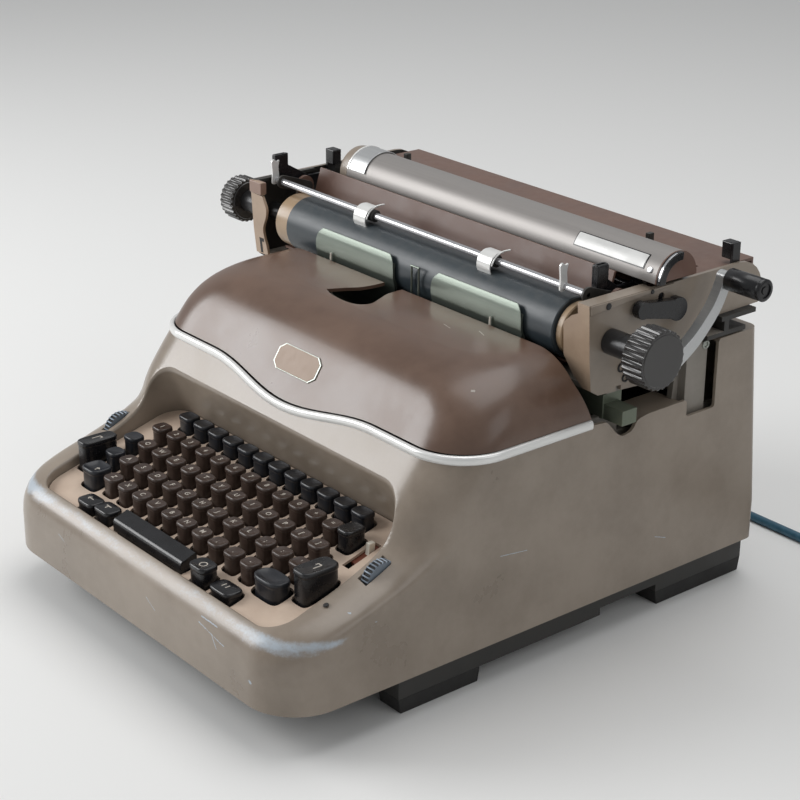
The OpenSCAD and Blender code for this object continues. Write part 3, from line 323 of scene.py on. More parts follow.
knob_plastic = finish("knob plastic", (38, 36, 35), (44, 42, 41), 0.24, spread=0.03, scale=30, bump=0.005,
    coat=0.35)
white_plastic = finish("ivory plastic", (214, 208, 194), (228, 222, 208), 0.3, scale=80, bump=0.02)
legend_ink = finish("legend ink", (172, 165, 155), (188, 181, 171), 0.5, scale=300, bump=0.02)
chrome = drawn("chrome", (196, 197, 200), (222, 223, 226), 0.14, 0.9, 0.05, 0.02, 20, 500, 500)
aluminium = drawn("satin aluminium", (178, 180, 181), (202, 203, 203), 0.34, 0.65, 0.07, 0.04, 14, 800, 800)
rail_metal = drawn("rail lacquer", (140, 136, 133), (153, 149, 146), 0.4, 0.35, 0.05, 0.03, 10, 600, 600)
table_paint = finish("brown table paint", (98, 73, 63), (111, 85, 74), 0.4, scale=24, bump=0.04, dust=0.04)
bare_plate = finish("bare name plate", (204, 204, 202), (214, 214, 212), 0.35, 0.1, scale=60, bump=0.02)
badge_metal = drawn("satin badge", (112, 94, 79), (126, 107, 91), 0.42, 0.2, 0.06, 0.04, 300, 300, 40)
motor_paint = finish("motor paint", (56, 58, 61), (72, 74, 77), 0.5, scale=70, bump=0.12)
cord_skin = finish("blue cord sleeve", (38, 78, 98), (56, 100, 120), 0.42, scale=160, bump=0.1)
plug_skin = finish("plug plastic", (34, 45, 52), (46, 58, 66), 0.4, scale=90, bump=0.08)
wheel_steel = drawn("blued wheel steel", (104, 114, 126), (136, 146, 157), 0.46, 0.4, 0.06, 0.03, 500, 60, 60)
red_paint = finish("red slot mark", (104, 54, 38), (120, 66, 48), 0.5, scale=90)
finish_of_slot = {"housing": housing_paint, "cover": cover_paint, "trim": trim_metal, "plate": plate_paint,
    "dark_metal": dark_metal, "steel": steel, "rubber": rubber, "platen": platen_rubber, "brown_key": brown_key,
    "black_plastic": black_key, "knob": knob_plastic, "white_plastic": white_plastic, "chrome": chrome,
    "aluminium": aluminium, "table": table_paint, "motor": motor_paint, "cord": cord_skin, "plug": plug_skin}
for name, solid in solids.items():
    solid.data.materials.clear()
    solid.data.materials.append(finish_of_slot[slot_of_node[name]])
print("finishes:", len(bpy.data.materials))

# %% [markdown]
# The mains lead leaves the rear wall, drops to the table and runs along it. The length that nothing
# shows is wound in a flat coil of two layers behind the machine. It is one curve with a round
# section, so its own points are its centre line.


# %% Power cord
def smooth_line(points, n):
    """Even curve through the points, n steps to each span, by Catmull and Rom's cubic."""
    p = np.asarray(points, float)
    padded = np.concatenate((p[:1], p, p[-1:]))[:, None]
    a, b, c, d = padded[:-3], padded[1:-2], padded[2:-1], padded[3:]
    t = (np.arange(n) / n)[None, :, None]
    spans = (2 * b + (c - a) * t + (2 * a - 5 * b + 4 * c - d) * t**2 + (3 * b - a - 3 * c + d) * t**3) / 2
    return np.concatenate((spans.reshape(-1, p.shape[1]), p[-1:]))


CORD_R, CORD_X, CORD_Z = 3.5, 40, 44
lead = [(CORD_X, y, CORD_Z) for y in (432, 450, 468)] + [(CORD_X, 478, 41.5), (41, 488, 35), (45, 497, 25),
    (53, 504, 14), (66, 508.5, 6.5), (82, 510, 3.7)]
lead += [(x, 510, CORD_R) for x in (105, 135, 165, 192, 210, 218)]
COIL_R, PITCH, TURNS_IN, TURNS_OUT, STEPS = 52.0, 7.8, 3.5, 3.0, 24
coil_middle = np.array((225.0, 562.0))
u = np.arange(int((TURNS_IN + 0.5 + TURNS_OUT) * STEPS) + 1) / STEPS
inner = COIL_R - PITCH * TURNS_IN
radius = np.where(u < TURNS_IN, COIL_R - PITCH * u, np.maximum(inner, inner + PITCH * (u - TURNS_IN - 0.5)))
climb = PITCH * (1 - np.cos(2 * np.pi * np.clip(u - TURNS_IN, 0, 0.5))) / 2
coil = np.stack((coil_middle[0] + radius * np.sin(2 * np.pi * u),
    coil_middle[1] - radius * np.cos(2 * np.pi * u), CORD_R + climb), -1)
tail = coil[-1] + np.linspace(0, 48, 5)[1:, None] * (1, 0, 0)
lead_line = np.concatenate((smooth_line(lead, 3), coil, tail))
lead_curve = bpy.data.curves.new("power_lead", "CURVE")
lead_curve.dimensions = "3D"
lead_curve.bevel_depth = CORD_R / 1000
lead_curve.bevel_resolution = 4
lead_curve.use_fill_caps = True
spline = lead_curve.splines.new("POLY")
spline.points.add(len(lead_line) - 1)
spline.points.foreach_set("co", np.concatenate((row(lead_line), np.ones((len(lead_line), 1))), 1).ravel())
lead_curve.materials.append(cord_skin)
cord = linked("power_lead", lead_curve)
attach(cord, "chassis")
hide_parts("power_cord", "cord_coil")
lead_length = float(np.linalg.norm(np.diff(row(lead_line), axis=0), axis=1).sum())
tuple(row((40, 440, 44)))
print("cord length:", round(lead_length, 3))

# %% [markdown]
# The body is one form whose plan is a rectangle with round corners. Its front edge follows a side
# profile: a steep apron, the rim beside the keys, the slope behind them and the shoulder. The lower
# part is the housing, and the part over the wavy seam is the cover.

# %% Body form
HALF, CORNER_R, REAR_R, DEPTH, WALL = 177.0, 40.0, 8.0, 440.0, 2.5
SKIRT_Z, COVER_TOP, SHOULDER_R, TOWER_Z = 31.0, 217.0, 45.0, 203.0
swell = [(110.5, 133.5), (115, 141.5), (121, 150), (129, 160.5), (138, 172), (144, 181)]
apron = smooth_line([(0, 58), (0.8, 65), (2.8, 71), (6, 76.2), (10.5, 80.2), (17, 83.6), (29, 88), (44, 92.6),
    (57, 96.8), (70, 101.3), (82, 106.4), (93, 111.8), (101, 117.3), (106.5, 124.5)] + swell, 5)
shoulder = smooth_line(swell + [(149.5, 189.5), (156, 198), (164, 205.3), (174, 211), (186, 215.2),
    (200, COVER_TOP)], 5)
lower_line = np.concatenate((((0, SKIRT_Z), (0, 45)), apron, ((144, TOWER_Z + 20),)))


def rounded_plan(half, y0, y1, front_r, rear_r, corner_n=14, front_n=40, side_n=36):
    """Plan with four round corners, one row for each value: arcs, and straight runs between them."""
    half, y0, y1, front_r, rear_r = (v[:, None] for v in np.broadcast_arrays(half, y0, y1, front_r, rear_r))
    a = np.radians(np.linspace(0, 90, corner_n))[None]
    arcs = []
    fronts = [(side, front_r, y0 + front_r) for side in (-1, 1)]
    rears = [(side, rear_r, y1 - rear_r) for side in (1, -1)]
    for (side, r, cy), start in zip(fronts + rears, (180, 270, 0, 90)):
        turn = a + math.radians(start)
        arcs.append(np.stack((side * (half - r) + r * np.cos(turn), cy + r * np.sin(turn)), -1))
    parts = []
    for k, n in enumerate((front_n, side_n, front_n, side_n)):
        t = np.linspace(0, 1, n + 2)[None, 1:-1, None]
        parts += [arcs[k], arcs[k][:, -1:] * (1 - t) + arcs[(k + 1) % 4][:, :1] * t]
    return np.concatenate(parts, 1)


def body_rings(line, half, inset, **counts):
    """Rings of the body along its front profile, drawn in by inset on all sides."""
    rear = np.interp(line[:, 1], (SKIRT_Z, 62, COVER_TOP + 7), (DEPTH, DEPTH, DEPTH - 15.5))
    plan = rounded_plan(half - inset, line[:, 0] + inset, rear - inset, CORNER_R - inset, REAR_R - inset,
        **counts)
    z = (line[:, 1] - inset)[:, None, None] * np.ones((1, plan.shape[1], 1))
    return np.concatenate((plan, z), -1)


def half_at(z):
    """Half width: upright sides, then the quarter round of the shoulder."""
    over = np.clip(z - (COVER_TOP - SHOULDER_R), 0, SHOULDER_R)
    return HALF - SHOULDER_R + np.sqrt(SHOULDER_R**2 - over**2)


def behind_edge(x, y):
    """How far a point lies behind the front edge, which swings back round the corners."""
    over = np.clip(np.abs(x) - (HALF - CORNER_R), 0, CORNER_R)
    return y - CORNER_R + np.sqrt(CORNER_R**2 - over**2)


def skin_z(x, y):
    """Height of the apron over a point: the profile, moved back where the corner rounds off."""
    return np.interp(behind_edge(x, y), lower_line[:, 0] + np.arange(len(lower_line)) * 1e-6, lower_line[:, 1])


print("profile points:", len(lower_line), len(shoulder))

# %% [markdown]
# Every new piece is a grid of points: a ring that changes from row to row, or a profile carried
# along a path. The helpers below turn such grids into closed shapes, and keep a shape as its points
# and a list of arrays of faces.


# %% Shapes from grids of points
def unit(v):
    """Vectors brought to a length of one."""
    return v / np.linalg.norm(v, axis=-1, keepdims=True)


def grid_faces(rows, cols, wrap_rows=False):
    """Quads between neighbouring rows and columns of a grid, whose columns close to a ring."""
    i, j = np.meshgrid(np.arange(rows - (not wrap_rows)), np.arange(cols), indexing="ij")
    k, m = (i + 1) % rows, (j + 1) % cols
    return np.stack((i * cols + j, i * cols + m, k * cols + m, k * cols + j), -1).reshape(-1, 4)


def loft(rings):
    """Closed solid through rings: the last axis is a point, rows go up, columns go round leftwards."""
    rows, cols = rings.shape[:2]
    ends = [np.arange(cols)[None, ::-1], (rows - 1) * cols + np.arange(cols)[None]]
    return rings.reshape(-1, 3), [grid_faces(rows, cols)] + ends


print("faces of a ring of three points and two rows:", len(grid_faces(2, 3)))

# %% [markdown]
# The keys stand in a well with round corners, whose rear wall leans forward to a lip. The well's
# edge is pressed round. Each column of its cutter goes straight up the wall and swings out over the
# skin along a parabola, so the cut leaves a soft rim.

# %% Key well
WELL_HALF, WELL_FRONT, WELL_REAR, WELL_FRONT_R, WELL_REAR_R = 147.0, 14.5, 121, 18.0, 22.0
WELL_LOW, WELL_HIGH, LEAN, RIM = 60, 150, 0.415, 3.2


def plate_z(y):
    """Height of the key plate, which rises evenly to the rear."""
    return 71.8 + 0.29 * y


def well_lines(inset):
    """The well's wall as lines: their feet, and how they run for each millimetre up.

    Only the rear edge of the plan moves with the height, because that wall leans.
    """
    rear = WELL_REAR - LEAN * (np.array((WELL_LOW, WELL_HIGH)) - WELL_HIGH) - inset
    foot, head = rounded_plan(WELL_HALF - inset, WELL_FRONT + inset, rear, WELL_FRONT_R - inset,
        WELL_REAR_R - inset, corner_n=12, front_n=36, side_n=24)
    return foot, (head - foot) / (WELL_HIGH - WELL_LOW)


def well_at(z, foot, run):
    """Points of the well's wall, each at its own height."""
    z = np.broadcast_to(z, len(foot))
    return np.concatenate((foot + run * (z - WELL_LOW)[:, None], z[:, None]), 1)


def meet(height, lines):
    """Where each line of the wall meets a surface: the height is worked out until it settles."""
    z = np.full(len(lines[0]), 100.0)
    for _ in range(60):
        x, y, z = well_at(z, *lines).T
        z = 0.5 * z + 0.5 * height(x, y)
    return z


well = well_lines(0)
edge_z = meet(skin_z, well)
edge = well_at(edge_z, *well)
along = np.roll(edge, -1, 0) - np.roll(edge, 1, 0)
outward = unit(np.stack((along[:, 1], -along[:, 0]), 1))
rise = (skin_z(*(edge[:, :2] + 2 * outward).T) - edge_z) / 2
over_skin = unit(np.concatenate((outward, rise[:, None]), 1))
up_wall = unit(np.concatenate((well[1], np.ones((len(edge), 1))), 1))
rim_end = edge + RIM * over_skin
t = np.linspace(0, 1, 8)[:, None, None]
rim_rows = (1 - t) ** 2 * (edge - RIM * up_wall) + 2 * t * (1 - t) * edge + t**2 * (rim_end + (0, 0, 0.45))
above = rim_end + np.concatenate((outward * 1.5, np.full((len(edge), 1), 30.0)), 1)
well_cutter = loft(np.concatenate((well_at(45.0, *well)[None], rim_rows, above[None])))
wall = well_lines(-2.2)
wall_low = meet(lambda x, y: plate_z(y) - 3, wall)
well_block = loft(np.stack((well_at(wall_low, *wall), well_at(165.0, *wall))))
print("well edge from", edge_z.min().round(1), "to", edge_z.max().round(1))

# %% [markdown]
# Most other forms are a flat outline carried along one axis. A sheet or a bar is drawn from its side
# that way, and so are the cutters for openings.


# %% Simple solids
def turn_of(n):
    """Angles of a full turn in n even steps."""
    return np.linspace(0, 2 * np.pi, n, endpoint=False)


def carried(outline, axis, *ends):
    """A flat outline carried along the axis that it leaves out, from one end to the other."""
    flat = np.asarray(outline, float)
    return loft(np.stack([np.insert(flat, axis, at, 1) for at in ends]))


def prism(outline, x0, x1):
    """A side outline of y and z points carried across from x0 to x1, whichever way it goes round."""
    flat = np.asarray(outline, float)
    after = np.roll(flat, -1, 0)
    if np.sum(flat[:, 0] * after[:, 1] - after[:, 0] * flat[:, 1]) < 0:
        flat = flat[::-1]
    return carried(flat, 0, x0, x1)


def block(x, y, z):
    """A box between two corners."""
    return prism(((y[0], z[0]), (y[1], z[0]), (y[1], z[1]), (y[0], z[1])), *x)


def join(*shapes):
    """Several shapes kept as one."""
    starts = np.cumsum([0] + [len(p) for p, _ in shapes])
    return np.concatenate([p for p, _ in shapes]), [f + s for (_, fs), s in zip(shapes, starts) for f in fs]


def flipped(shape):
    """Mirror image over the middle of the machine, with its faces turned to point out again."""
    return shape[0] * (-1, 1, 1), [f[:, ::-1] for f in shape[1]]


def softened(outline, r, n=5):
    """Closed outline whose corners are swung round: each corner becomes a short parabola."""
    p = np.asarray(outline, float)
    ends = []
    for v in (np.roll(p, 1, 0) - p, np.roll(p, -1, 0) - p):
        length = np.linalg.norm(v, axis=1)[:, None]
        ends.append((p + np.minimum(r, 0.45 * length) / length * v)[:, None])
    t = np.linspace(0, 1, n)[None, :, None]
    return ((1 - t) ** 2 * ends[0] + 2 * t * (1 - t) * p[:, None] + t**2 * ends[1]).reshape(-1, 2)


print("a block has", len(block((0, 1), (0, 1), (0, 1))[0]), "points")

# %% [markdown]
# A shape becomes a piece when it gets a mesh, a finish and the body that it rides on. Pressed and
# cast metal has no knife edges, so most pieces get a small bevel. Openings are cut with the exact
# Boolean, whose result is kept as a plain mesh.


# %% From shape to piece
def mesh_of(name, shape):
    """A mesh made from a shape. What is a mesh already stays as it is."""
    if isinstance(shape, bpy.types.Mesh):
        return shape
    mesh = bpy.data.meshes.new(name)
    mesh.from_pydata(row(shape[0]).tolist(), [], [f for faces in shape[1] for f in faces.tolist()])
    return mesh


def worked_out(obj):
    """The plain mesh that an object and its modifiers give."""
    return bpy.data.meshes.new_from_object(obj.evaluated_get(bpy.context.evaluated_depsgraph_get()))


def carve(shape, *cutters):
    """The shape with each cutter taken away in turn."""
    base = linked("base", mesh_of("base", shape))
    tools = [linked("tool", mesh_of("tool", c)) for c in cutters]
    for tool in tools:
        cut = base.modifiers.new("cut", "BOOLEAN")
        cut.solver = "EXACT"
        cut.operation = "DIFFERENCE"
        cut.object = tool
    result = worked_out(base)
    for thing in [base] + tools:
        bpy.data.objects.remove(thing)
    return result


def piece(name, shape, finish, body, slot, stands_for=(), bevel=0.0, steps=2, sharp=35, limit=35):
    """Makes a piece that rides on a body, takes the finish it is given and may stand for solids. The slot is
    not used.
    """
    mesh = mesh_of(name, shape)
    mesh.name = name
    mesh.materials.clear()
    for f in finish if isinstance(finish, list) else [finish]:
        mesh.materials.append(f)
    mesh.shade_smooth()
    mesh.set_sharp_from_angle(angle=math.radians(sharp))
    obj = linked(name, mesh)
    if bevel:
        edge = obj.modifiers.new("edge", "BEVEL")
        edge.width = bevel / 1000
        edge.segments = steps
        edge.limit_method = "ANGLE"
        edge.angle_limit = math.radians(limit)
        edge.harden_normals = True
    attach(obj, body)
    if stands_for:
        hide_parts(*stands_for)
    return obj


def skin(name, shape, finish, node, **look):
    """A piece that stands for a solid, and takes over its body."""
    return piece(name, shape, finish, body_of_node[node], slot_of_node[node], (node,), **look)


def places_of(items, label):
    """Points that a mesh keeps, in millimetres from the housing's middle."""
    flat = np.empty(len(items) * 3)
    items.foreach_get(label, flat)
    return (flat.reshape(-1, 3) - SHIFT) * 1000


print("helpers ready")

# %% [markdown]
# The housing is pressed sheet, so it is a thin shell: the body form with a smaller one taken out,
# cut along the seam, around the carriage and for the thumb wheels, the rear vents and the cord. A
# dark sheet stands behind the vents as painted shade, so that the inside looks dark through them, and
# a ledge lies inside each notch.

# %% Housing
SEAM_Z, SEAM_DIP, SEAM_WAVE, PAST_SIDE = 171.0, 10.0, 190.0, 220


def seam(x):
    """The seam dips in the middle of the front as one wave of a cosine."""
    x = np.asarray(x, float)
    return SEAM_Z - np.where(np.abs(x) < SEAM_WAVE / 2, SEAM_DIP * np.cos(np.pi * x / SEAM_WAVE) ** 2, 0)


def seam_prism(dz, y0, y1, over):
    """All that is over the seam, or under it, between two depths."""
    x = np.concatenate(((-PAST_SIDE,), np.linspace(-SEAM_WAVE / 2, SEAM_WAVE / 2, 49), (PAST_SIDE,)))
    far = 320.0 if over else -20.0
    line = np.concatenate((np.stack((x, seam(x) + dz), 1), ((PAST_SIDE, far), (-PAST_SIDE, far))))
    return carried(line if over else line[::-1], 1, y1, y0)


inside = carve(loft(body_rings(lower_line, HALF, WALL, corner_n=8, front_n=4, side_n=4)),
    prism(((-30, TOWER_Z - WALL), (500, TOWER_Z - WALL), (500, 300), (-30, 300)), -200, 200), well_block)
over_panels = softened([(259.9, 169), (275, 168), (285, 156.5), (291, 153), (300, 154.7), (305, 162),
    (315, 163.7), (354.5, 164), (354.5, 151), (384, 151), (384, TOWER_Z), (500, TOWER_Z), (500, 300),
    (259.9, 300)], 3.0)
thumb_slot = block((152.6, 161.4), (77.6, 98.6), (86, 130))
rear_vents = join(*[block((x - 2, x + 2), (DEPTH - 25, DEPTH + 5), (80, 120)) for x in range(-120, 121, 12)])
HOLE_R, a = 7.3, turn_of(32)
hole_ring = np.stack((CORD_X + HOLE_R * np.cos(a), CORD_Z + HOLE_R * np.sin(a)), 1)
cord_hole = carried(hole_ring, 1, DEPTH + 12, DEPTH - 8)
housing_mesh = carve(loft(body_rings(lower_line, HALF, 0)), inside, well_cutter,
    seam_prism(-2.5, -30, 260, True), prism(over_panels, -PAST_SIDE, PAST_SIDE),
    join(thumb_slot, flipped(thumb_slot)), rear_vents, cord_hole)
skin("housing_shell", housing_mesh, housing_paint, "main_housing", bevel=0.5, limit=50)
x, y, z = places_of(housing_mesh.vertices, "co").T
near_rim = np.exp(-(((behind_edge(x, y) - 8) / 5) ** 2) - ((z - skin_z(x, y)) / 3) ** 2)
corners = 0.52 + 0.48 * np.exp(-(((np.abs(x) - 152) / 28) ** 2))
rub = near_rim * corners * np.clip((75 - y) / 30, 0, 1)
housing_mesh.attributes.new("rim", "FLOAT", "POINT").data.foreach_set("value", rub)
# Painted shade: a dark sheet behind the vents, so the inside of the housing shows dark through them.
piece("vent_shade_sheet", block((-126, 126), (427, 428), (74, 126)), dark_metal, "chassis", "dark_metal")
ledge = block((146, 174.4), (303, 353.5), (159.8, 161.2))
piece("notch_ledges", join(ledge, flipped(ledge)), housing_paint, "chassis", "housing")
print("housing faces:", len(housing_mesh.polygons))

# %% [markdown]
# The cover is the upper part of the same form, drawn in over its shoulders to a flat top. It has a
# leaf-shaped opening over the type bars, which runs out into its rear edge in front of the carriage.

# %% Cover
cover_half = half_at(shoulder[:, 1])
cover_inside = body_rings(shoulder, cover_half, WALL, corner_n=8, front_n=6, side_n=6)
rear_edge = [(263, 100), (261.8, 168), (250, 200), (249.5, 213), (249.5, 240), (480, 240), (480, 100)]
behind_cover = prism(softened(rear_edge, 3), -PAST_SIDE, PAST_SIDE)
leaf_right = smooth_line([(-47.6, 206.8), (-40, 203.6), (-31.6, 202), (-18.6, 201.2), (-7.5, 204),
    (-2.8, 212.5), (-7.5, 225), (-12, 237), (-12.5, 262)], 6)
leaf_left = smooth_line([(-33, 262), (-33.2, 242), (-35.6, 229), (-41, 220), (-47.6, 206.8)], 6)[:-1]
leaf_hole = carried(np.concatenate((leaf_right, leaf_left)), 2, 195.0, 240.0)
cover_mesh = carve(loft(body_rings(shoulder, cover_half, 0)), loft(cover_inside),
    seam_prism(2.9, -30, 480, False), behind_cover, leaf_hole)
skin("cover_shell", cover_mesh, cover_paint, "top_cover", bevel=0.35, limit=50)
print("cover faces:", len(cover_mesh.polygons))

# %% [markdown]
# A bright bead lies in the seam. It is a half-round section carried along the seam on the body's
# surface, from one side round the front to the other, and it hides the hinge of the cover.

# %% Trim bead
SIDE_N, TURN_N, SECTION_N = 50, 23, 20
front_x = np.linspace(-136, 136, 161)
turn = np.radians(np.linspace(180, 270, TURN_N + 1))[:-1]
line_z = np.concatenate((np.full(SIDE_N + TURN_N, SEAM_Z), seam(front_x)))
front_edge, side_y = (np.interp(z, apron[:, 1], apron[:, 0]) for z in (seam(front_x), SEAM_Z))
left_xy = np.concatenate((np.stack((np.full(SIDE_N, -HALF), np.linspace(259, side_y + 41, SIDE_N)), 1),
    np.stack((CORNER_R - HALF + CORNER_R * np.cos(turn), side_y + CORNER_R + CORNER_R * np.sin(turn)), 1),
    np.stack((front_x, front_edge), 1)))
half_line = np.concatenate((left_xy, line_z[:, None]), 1)
bead_line = np.concatenate((half_line, (half_line[:SIDE_N + TURN_N] * (-1, 1, 1))[::-1]))
run = np.gradient(bead_line, axis=0)
level = unit(np.stack((run[:, 1], -run[:, 0], np.zeros(len(bead_line))), 1))
section = turn_of(SECTION_N)
round_x, round_z = (np.sign(v) * np.abs(v) ** 0.75 for v in (np.cos(section), np.sin(section)))
proud = np.where(round_x > 0, 2.8 * round_x, 1.5 * round_x)[None, :, None]
raised = np.array((0, 0, 1.0)) * (3.35 * round_z - 0.75)[None, :, None]
bead_rings = bead_line[:, None] + level[:, None] * proud + raised
skin("trim_bead", loft(bead_rings[::-1]), trim_metal, "trim_strip")
print("trim points:", len(bead_line))

# %% [markdown]
# Each key is a deep column under a cap with a dished top, and it comes up through its own rounded hole
# in the plate.

# %% Key shapes
PITCH_X, ROW_Y, ROW_Z, ROW_STEP, ROW_RISE = 19.0, 45.0, 97.0, 19.15, 5.44
KEY_W, KEY_D, KEY_GAP = 14.2, 12.8, 1.1
SKIRT_BELOW, DISH, POINTS = 3.0, 0.9, 40


def superellipse(power, n=POINTS):
    """Unit outline between a circle and a square: cosine and sine pulled out by a power."""
    a = turn_of(n)
    return np.stack([np.sign(v) * np.abs(v) ** (2 / power) for v in (np.cos(a), np.sin(a))], 1)


def sunk(share, dish):
    """How far a top lies under its highest level: a dish is low in the middle, a pillow at its edge."""
    return dish * (1 - share**2) if dish > 0 else -dish * share**2


def key_shape(w, d, spot, dish=DISH, power=3.3):
    """Column under a wider cap with a rounded rim, row by row from its foot to the middle of its top."""
    drawn_in = np.array((0.5, 0.45, 0.42, 0.1, 0, 0, 0.1, 0.34, 0.72, 1.1, 1.1, 1.1, 1.1, 1.1, 1.1, 1.1))
    share = np.array((1, 1, 1, 1, 1, 1, 1, 1, 1, 1, 0.95, 0.85, 0.68, 0.48, 0.26, 0.05))
    rise = np.array((0, -4.4, -3.7, -3.4, -3.1, -1.5, -0.85, -0.36, -0.08, 0, 0, 0, 0, 0, 0, 0))
    rise = rise - sunk(share, dish)
    rise[0] = plate_z(spot[1] - d / 2) - SKIRT_BELOW - spot[2]
    half = np.stack((w / 2 - drawn_in, d / 2 - drawn_in), 1) * share[:, None]
    plan = half[:, None] * superellipse(power)[None]
    height = np.ones((len(share), POINTS, 1)) * rise[:, None, None]
    return loft(np.concatenate((plan, height), -1) + np.asarray(spot, float))


def key_hole(w, d, spot):
    """Hole in the plate for a key, with a gap round it."""
    return carried(superellipse(4.5) * (w / 2 + KEY_GAP, d / 2 + KEY_GAP) + spot[:2], 2, 40.0, 160.0)


print("points in a key:", len(key_shape(KEY_W, KEY_D, (0, ROW_Y, ROW_Z))[0]))

# %% [markdown]
# The marks on the keys are flat letters and strokes. They are drawn level round the middle of a key,
# and then lowered point by point, so that they follow the dish of the top.


# %% Key marks
def laid(shape, w, d, spot, dish=DISH):
    """A flat mark laid on the top of a key, so that it follows the dish."""
    p = np.array(shape[0], float)
    share = np.minimum(np.max(np.abs(p[:, :2]) / (w / 2 - 1.1, d / 2 - 1.1), axis=1), 1)
    p[:, 2] += 0.04 - sunk(share, dish)
    return p + np.asarray(spot, float), shape[1]


def letters_of(text, size, aside):
    """Plain letters as a thin flat mark, moved aside in x and y."""
    words = bpy.data.curves.new("legend", "FONT")
    words.body = text
    words.size = size
    words.extrude = 0.07
    words.offset = 0.06
    words.align_x = "CENTER"
    words.align_y = "CENTER"
    words.resolution_u = 3
    holder = linked("legend", words)
    mark = worked_out(holder)
    bpy.data.objects.remove(holder)
    p = np.empty(len(mark.vertices) * 3)
    mark.vertices.foreach_get("co", p)
    return p.reshape(-1, 3) + (*aside, 0), [np.array([f.vertices[:]]) for f in mark.polygons]


def strokes(*lines, t=0.85):
    """Straight strokes between x and y points, as a thin flat mark."""
    marks = []
    for a, b in lines:
        a, b = np.array(a, float), np.array(b, float)
        side = np.array((a[1] - b[1], b[0] - a[0])) / np.hypot(*(b - a)) * t / 2
        marks.append(carried((a - side, b - side, b + side, a + side), 2, -0.07, 0.07))
    return join(*marks)


print("points in a stroke:", len(strokes(((0, 0), (1, 0)))[0]))

# %% [markdown]
# The letter keys stand a pitch apart, and each row is moved aside from the one in front of it. The
# other keys have sizes, places, tops and marks of their own.


# %% Keys
def key_x(i, offset):
    """Middle of a key of a row that is moved aside by a share of the pitch."""
    return (i + offset - 6) * PITCH_X


def letter_keys(count, offset, r, first=0):
    """Widths, depths and places of letter keys in a row, counted from the front."""
    y, z = ROW_Y + r * ROW_STEP, ROW_Z + r * ROW_RISE
    return [(KEY_W, KEY_D, (key_x(i, offset), y, z)) for i in range(first, first + count)]


row_plan = [(10, 1.25, "bottom_row_keys", "ZXCVBNM,.-"), (12, 0.75, "home_row_keys", "ASDFGHJKL;:'"),
    (12, 0.5, "upper_row_keys", "QWERTYUIOP[]"), (12, 0, "number_row_keys", "1234567890+=")]
lock_l, lock_r = (13.6, 30, (-138, 60.5, 107.5)), (17, 29.5, (130, 61.5, 108.5))
shift_l, shift_r = (20, 18, (-113, 44.5, 97.5)), (28, 17, (105, 44.5, 96))
tab_a, tab_b = (19.6, 14.6, (-88, 24, 86.5)), (19.6, 14.6, (-66, 24.5, 88))
ring, end = (18.5, 14.8, (55.5, 24, 92)), (23, 15, (81.5, 24, 86))
LOCK_DISH, TAB_DISH, END_DISH, SHIFT_DISH, LETTER_POWER = 0.7, -0.7, -0.9, 2.6, 3.3
function_keys = [(16, 12.5, (key_x(i, 0.3), 123.2, 118.3)) for i in range(12)]
key_sets = {"function_keys": (grey_key, function_keys, DISH, 3.6),
    "side_keys": (grey_key, letter_keys(1, 0.75, 1, -1) + letter_keys(1, 0.5, 2, -1), DISH, LETTER_POWER),
    "tall_key": (black_key, [(KEY_W, 17, (111.5, 105, 115.5))], DISH, 4.0),
    "shift_key_left": (grey_key, [shift_l], SHIFT_DISH, 3.6),
    "shift_key_right": (grey_key, [shift_r], 2.2, 2.9), "lock_key_left": (black_key, [lock_l], LOCK_DISH, 4.4),
    "lock_key_right": (black_key, [lock_r], LOCK_DISH, 4.4),
    "tab_keys": (black_key, [tab_a, tab_b], TAB_DISH, 4.4), "ring_key": (black_key, [ring], DISH, 3.6),
    "end_key": (black_key, [end], END_DISH, 4.2)}
around = np.linspace(0, 2 * np.pi, 25)
circle = np.stack((np.cos(around), np.sin(around)), 1) * 2.7
hook = strokes(((-1.6, -3.5), (-1.6, 3.5)), ((-1.6, 3.5), (1.8, 3.5)), ((1.8, 3.5), (1.8, 1.2)))
arrow = strokes(((-3, 0), (3, 0)), ((-3, 0), (-1, 1.6)), ((-3, 0), (-1, -1.6)))
tee = strokes(((-3, 1), (3, 1)), ((0, 1), (0, -2.4)), t=0.9)
up_arrow = strokes(((0, -2), (0, 2)), ((0, 2), (-1.6, 0.6)), ((0, 2), (1.6, 0.6)))
legends = {"lock_key_left": [laid(hook, *lock_l, LOCK_DISH)],
    "lock_key_right": [laid(flipped(hook), *lock_r, LOCK_DISH)],
    "tab_keys": [laid(arrow, *tab_a, TAB_DISH), laid(tee, *tab_b, TAB_DISH)],
    "end_key": [laid(strokes(((-2, -2), (-2, 2)), ((2, -2), (2, 2))), *end, END_DISH)],
    "ring_key": [laid(strokes(*zip(circle[:-1], circle[1:]), t=0.8), *ring)],
    "shift_key_left": [laid(up_arrow, *shift_l, SHIFT_DISH)]}
for r, (count, offset, node, letters) in enumerate(row_plan):
    keys = letter_keys(count, offset, r)
    key_sets[node] = (brown_key, keys, DISH, LETTER_POWER)
    legends[node] = [laid(letters_of(c, 5.4, (-0.8, 0.5)), *k) for c, k in zip(letters, keys)]
holes = []
for node, (plastic, keys, dish, power) in key_sets.items():
    skin(node + "_caps", join(*[key_shape(*k, dish, power) for k in keys]), plastic, node, sharp=50)
    holes += [key_hole(*k) for k in keys]
    if node in legends:
        piece(node + "_legends", join(*legends[node]), legend_ink, body_of_node[node], slot_of_node[node])
print("keys:", len(holes))

# %% [markdown]
# The space bar is a side outline with a round nose, carried across. The beige plate closes the well
# under the keys, and is cut with one hole for every key and a slot for the switch.

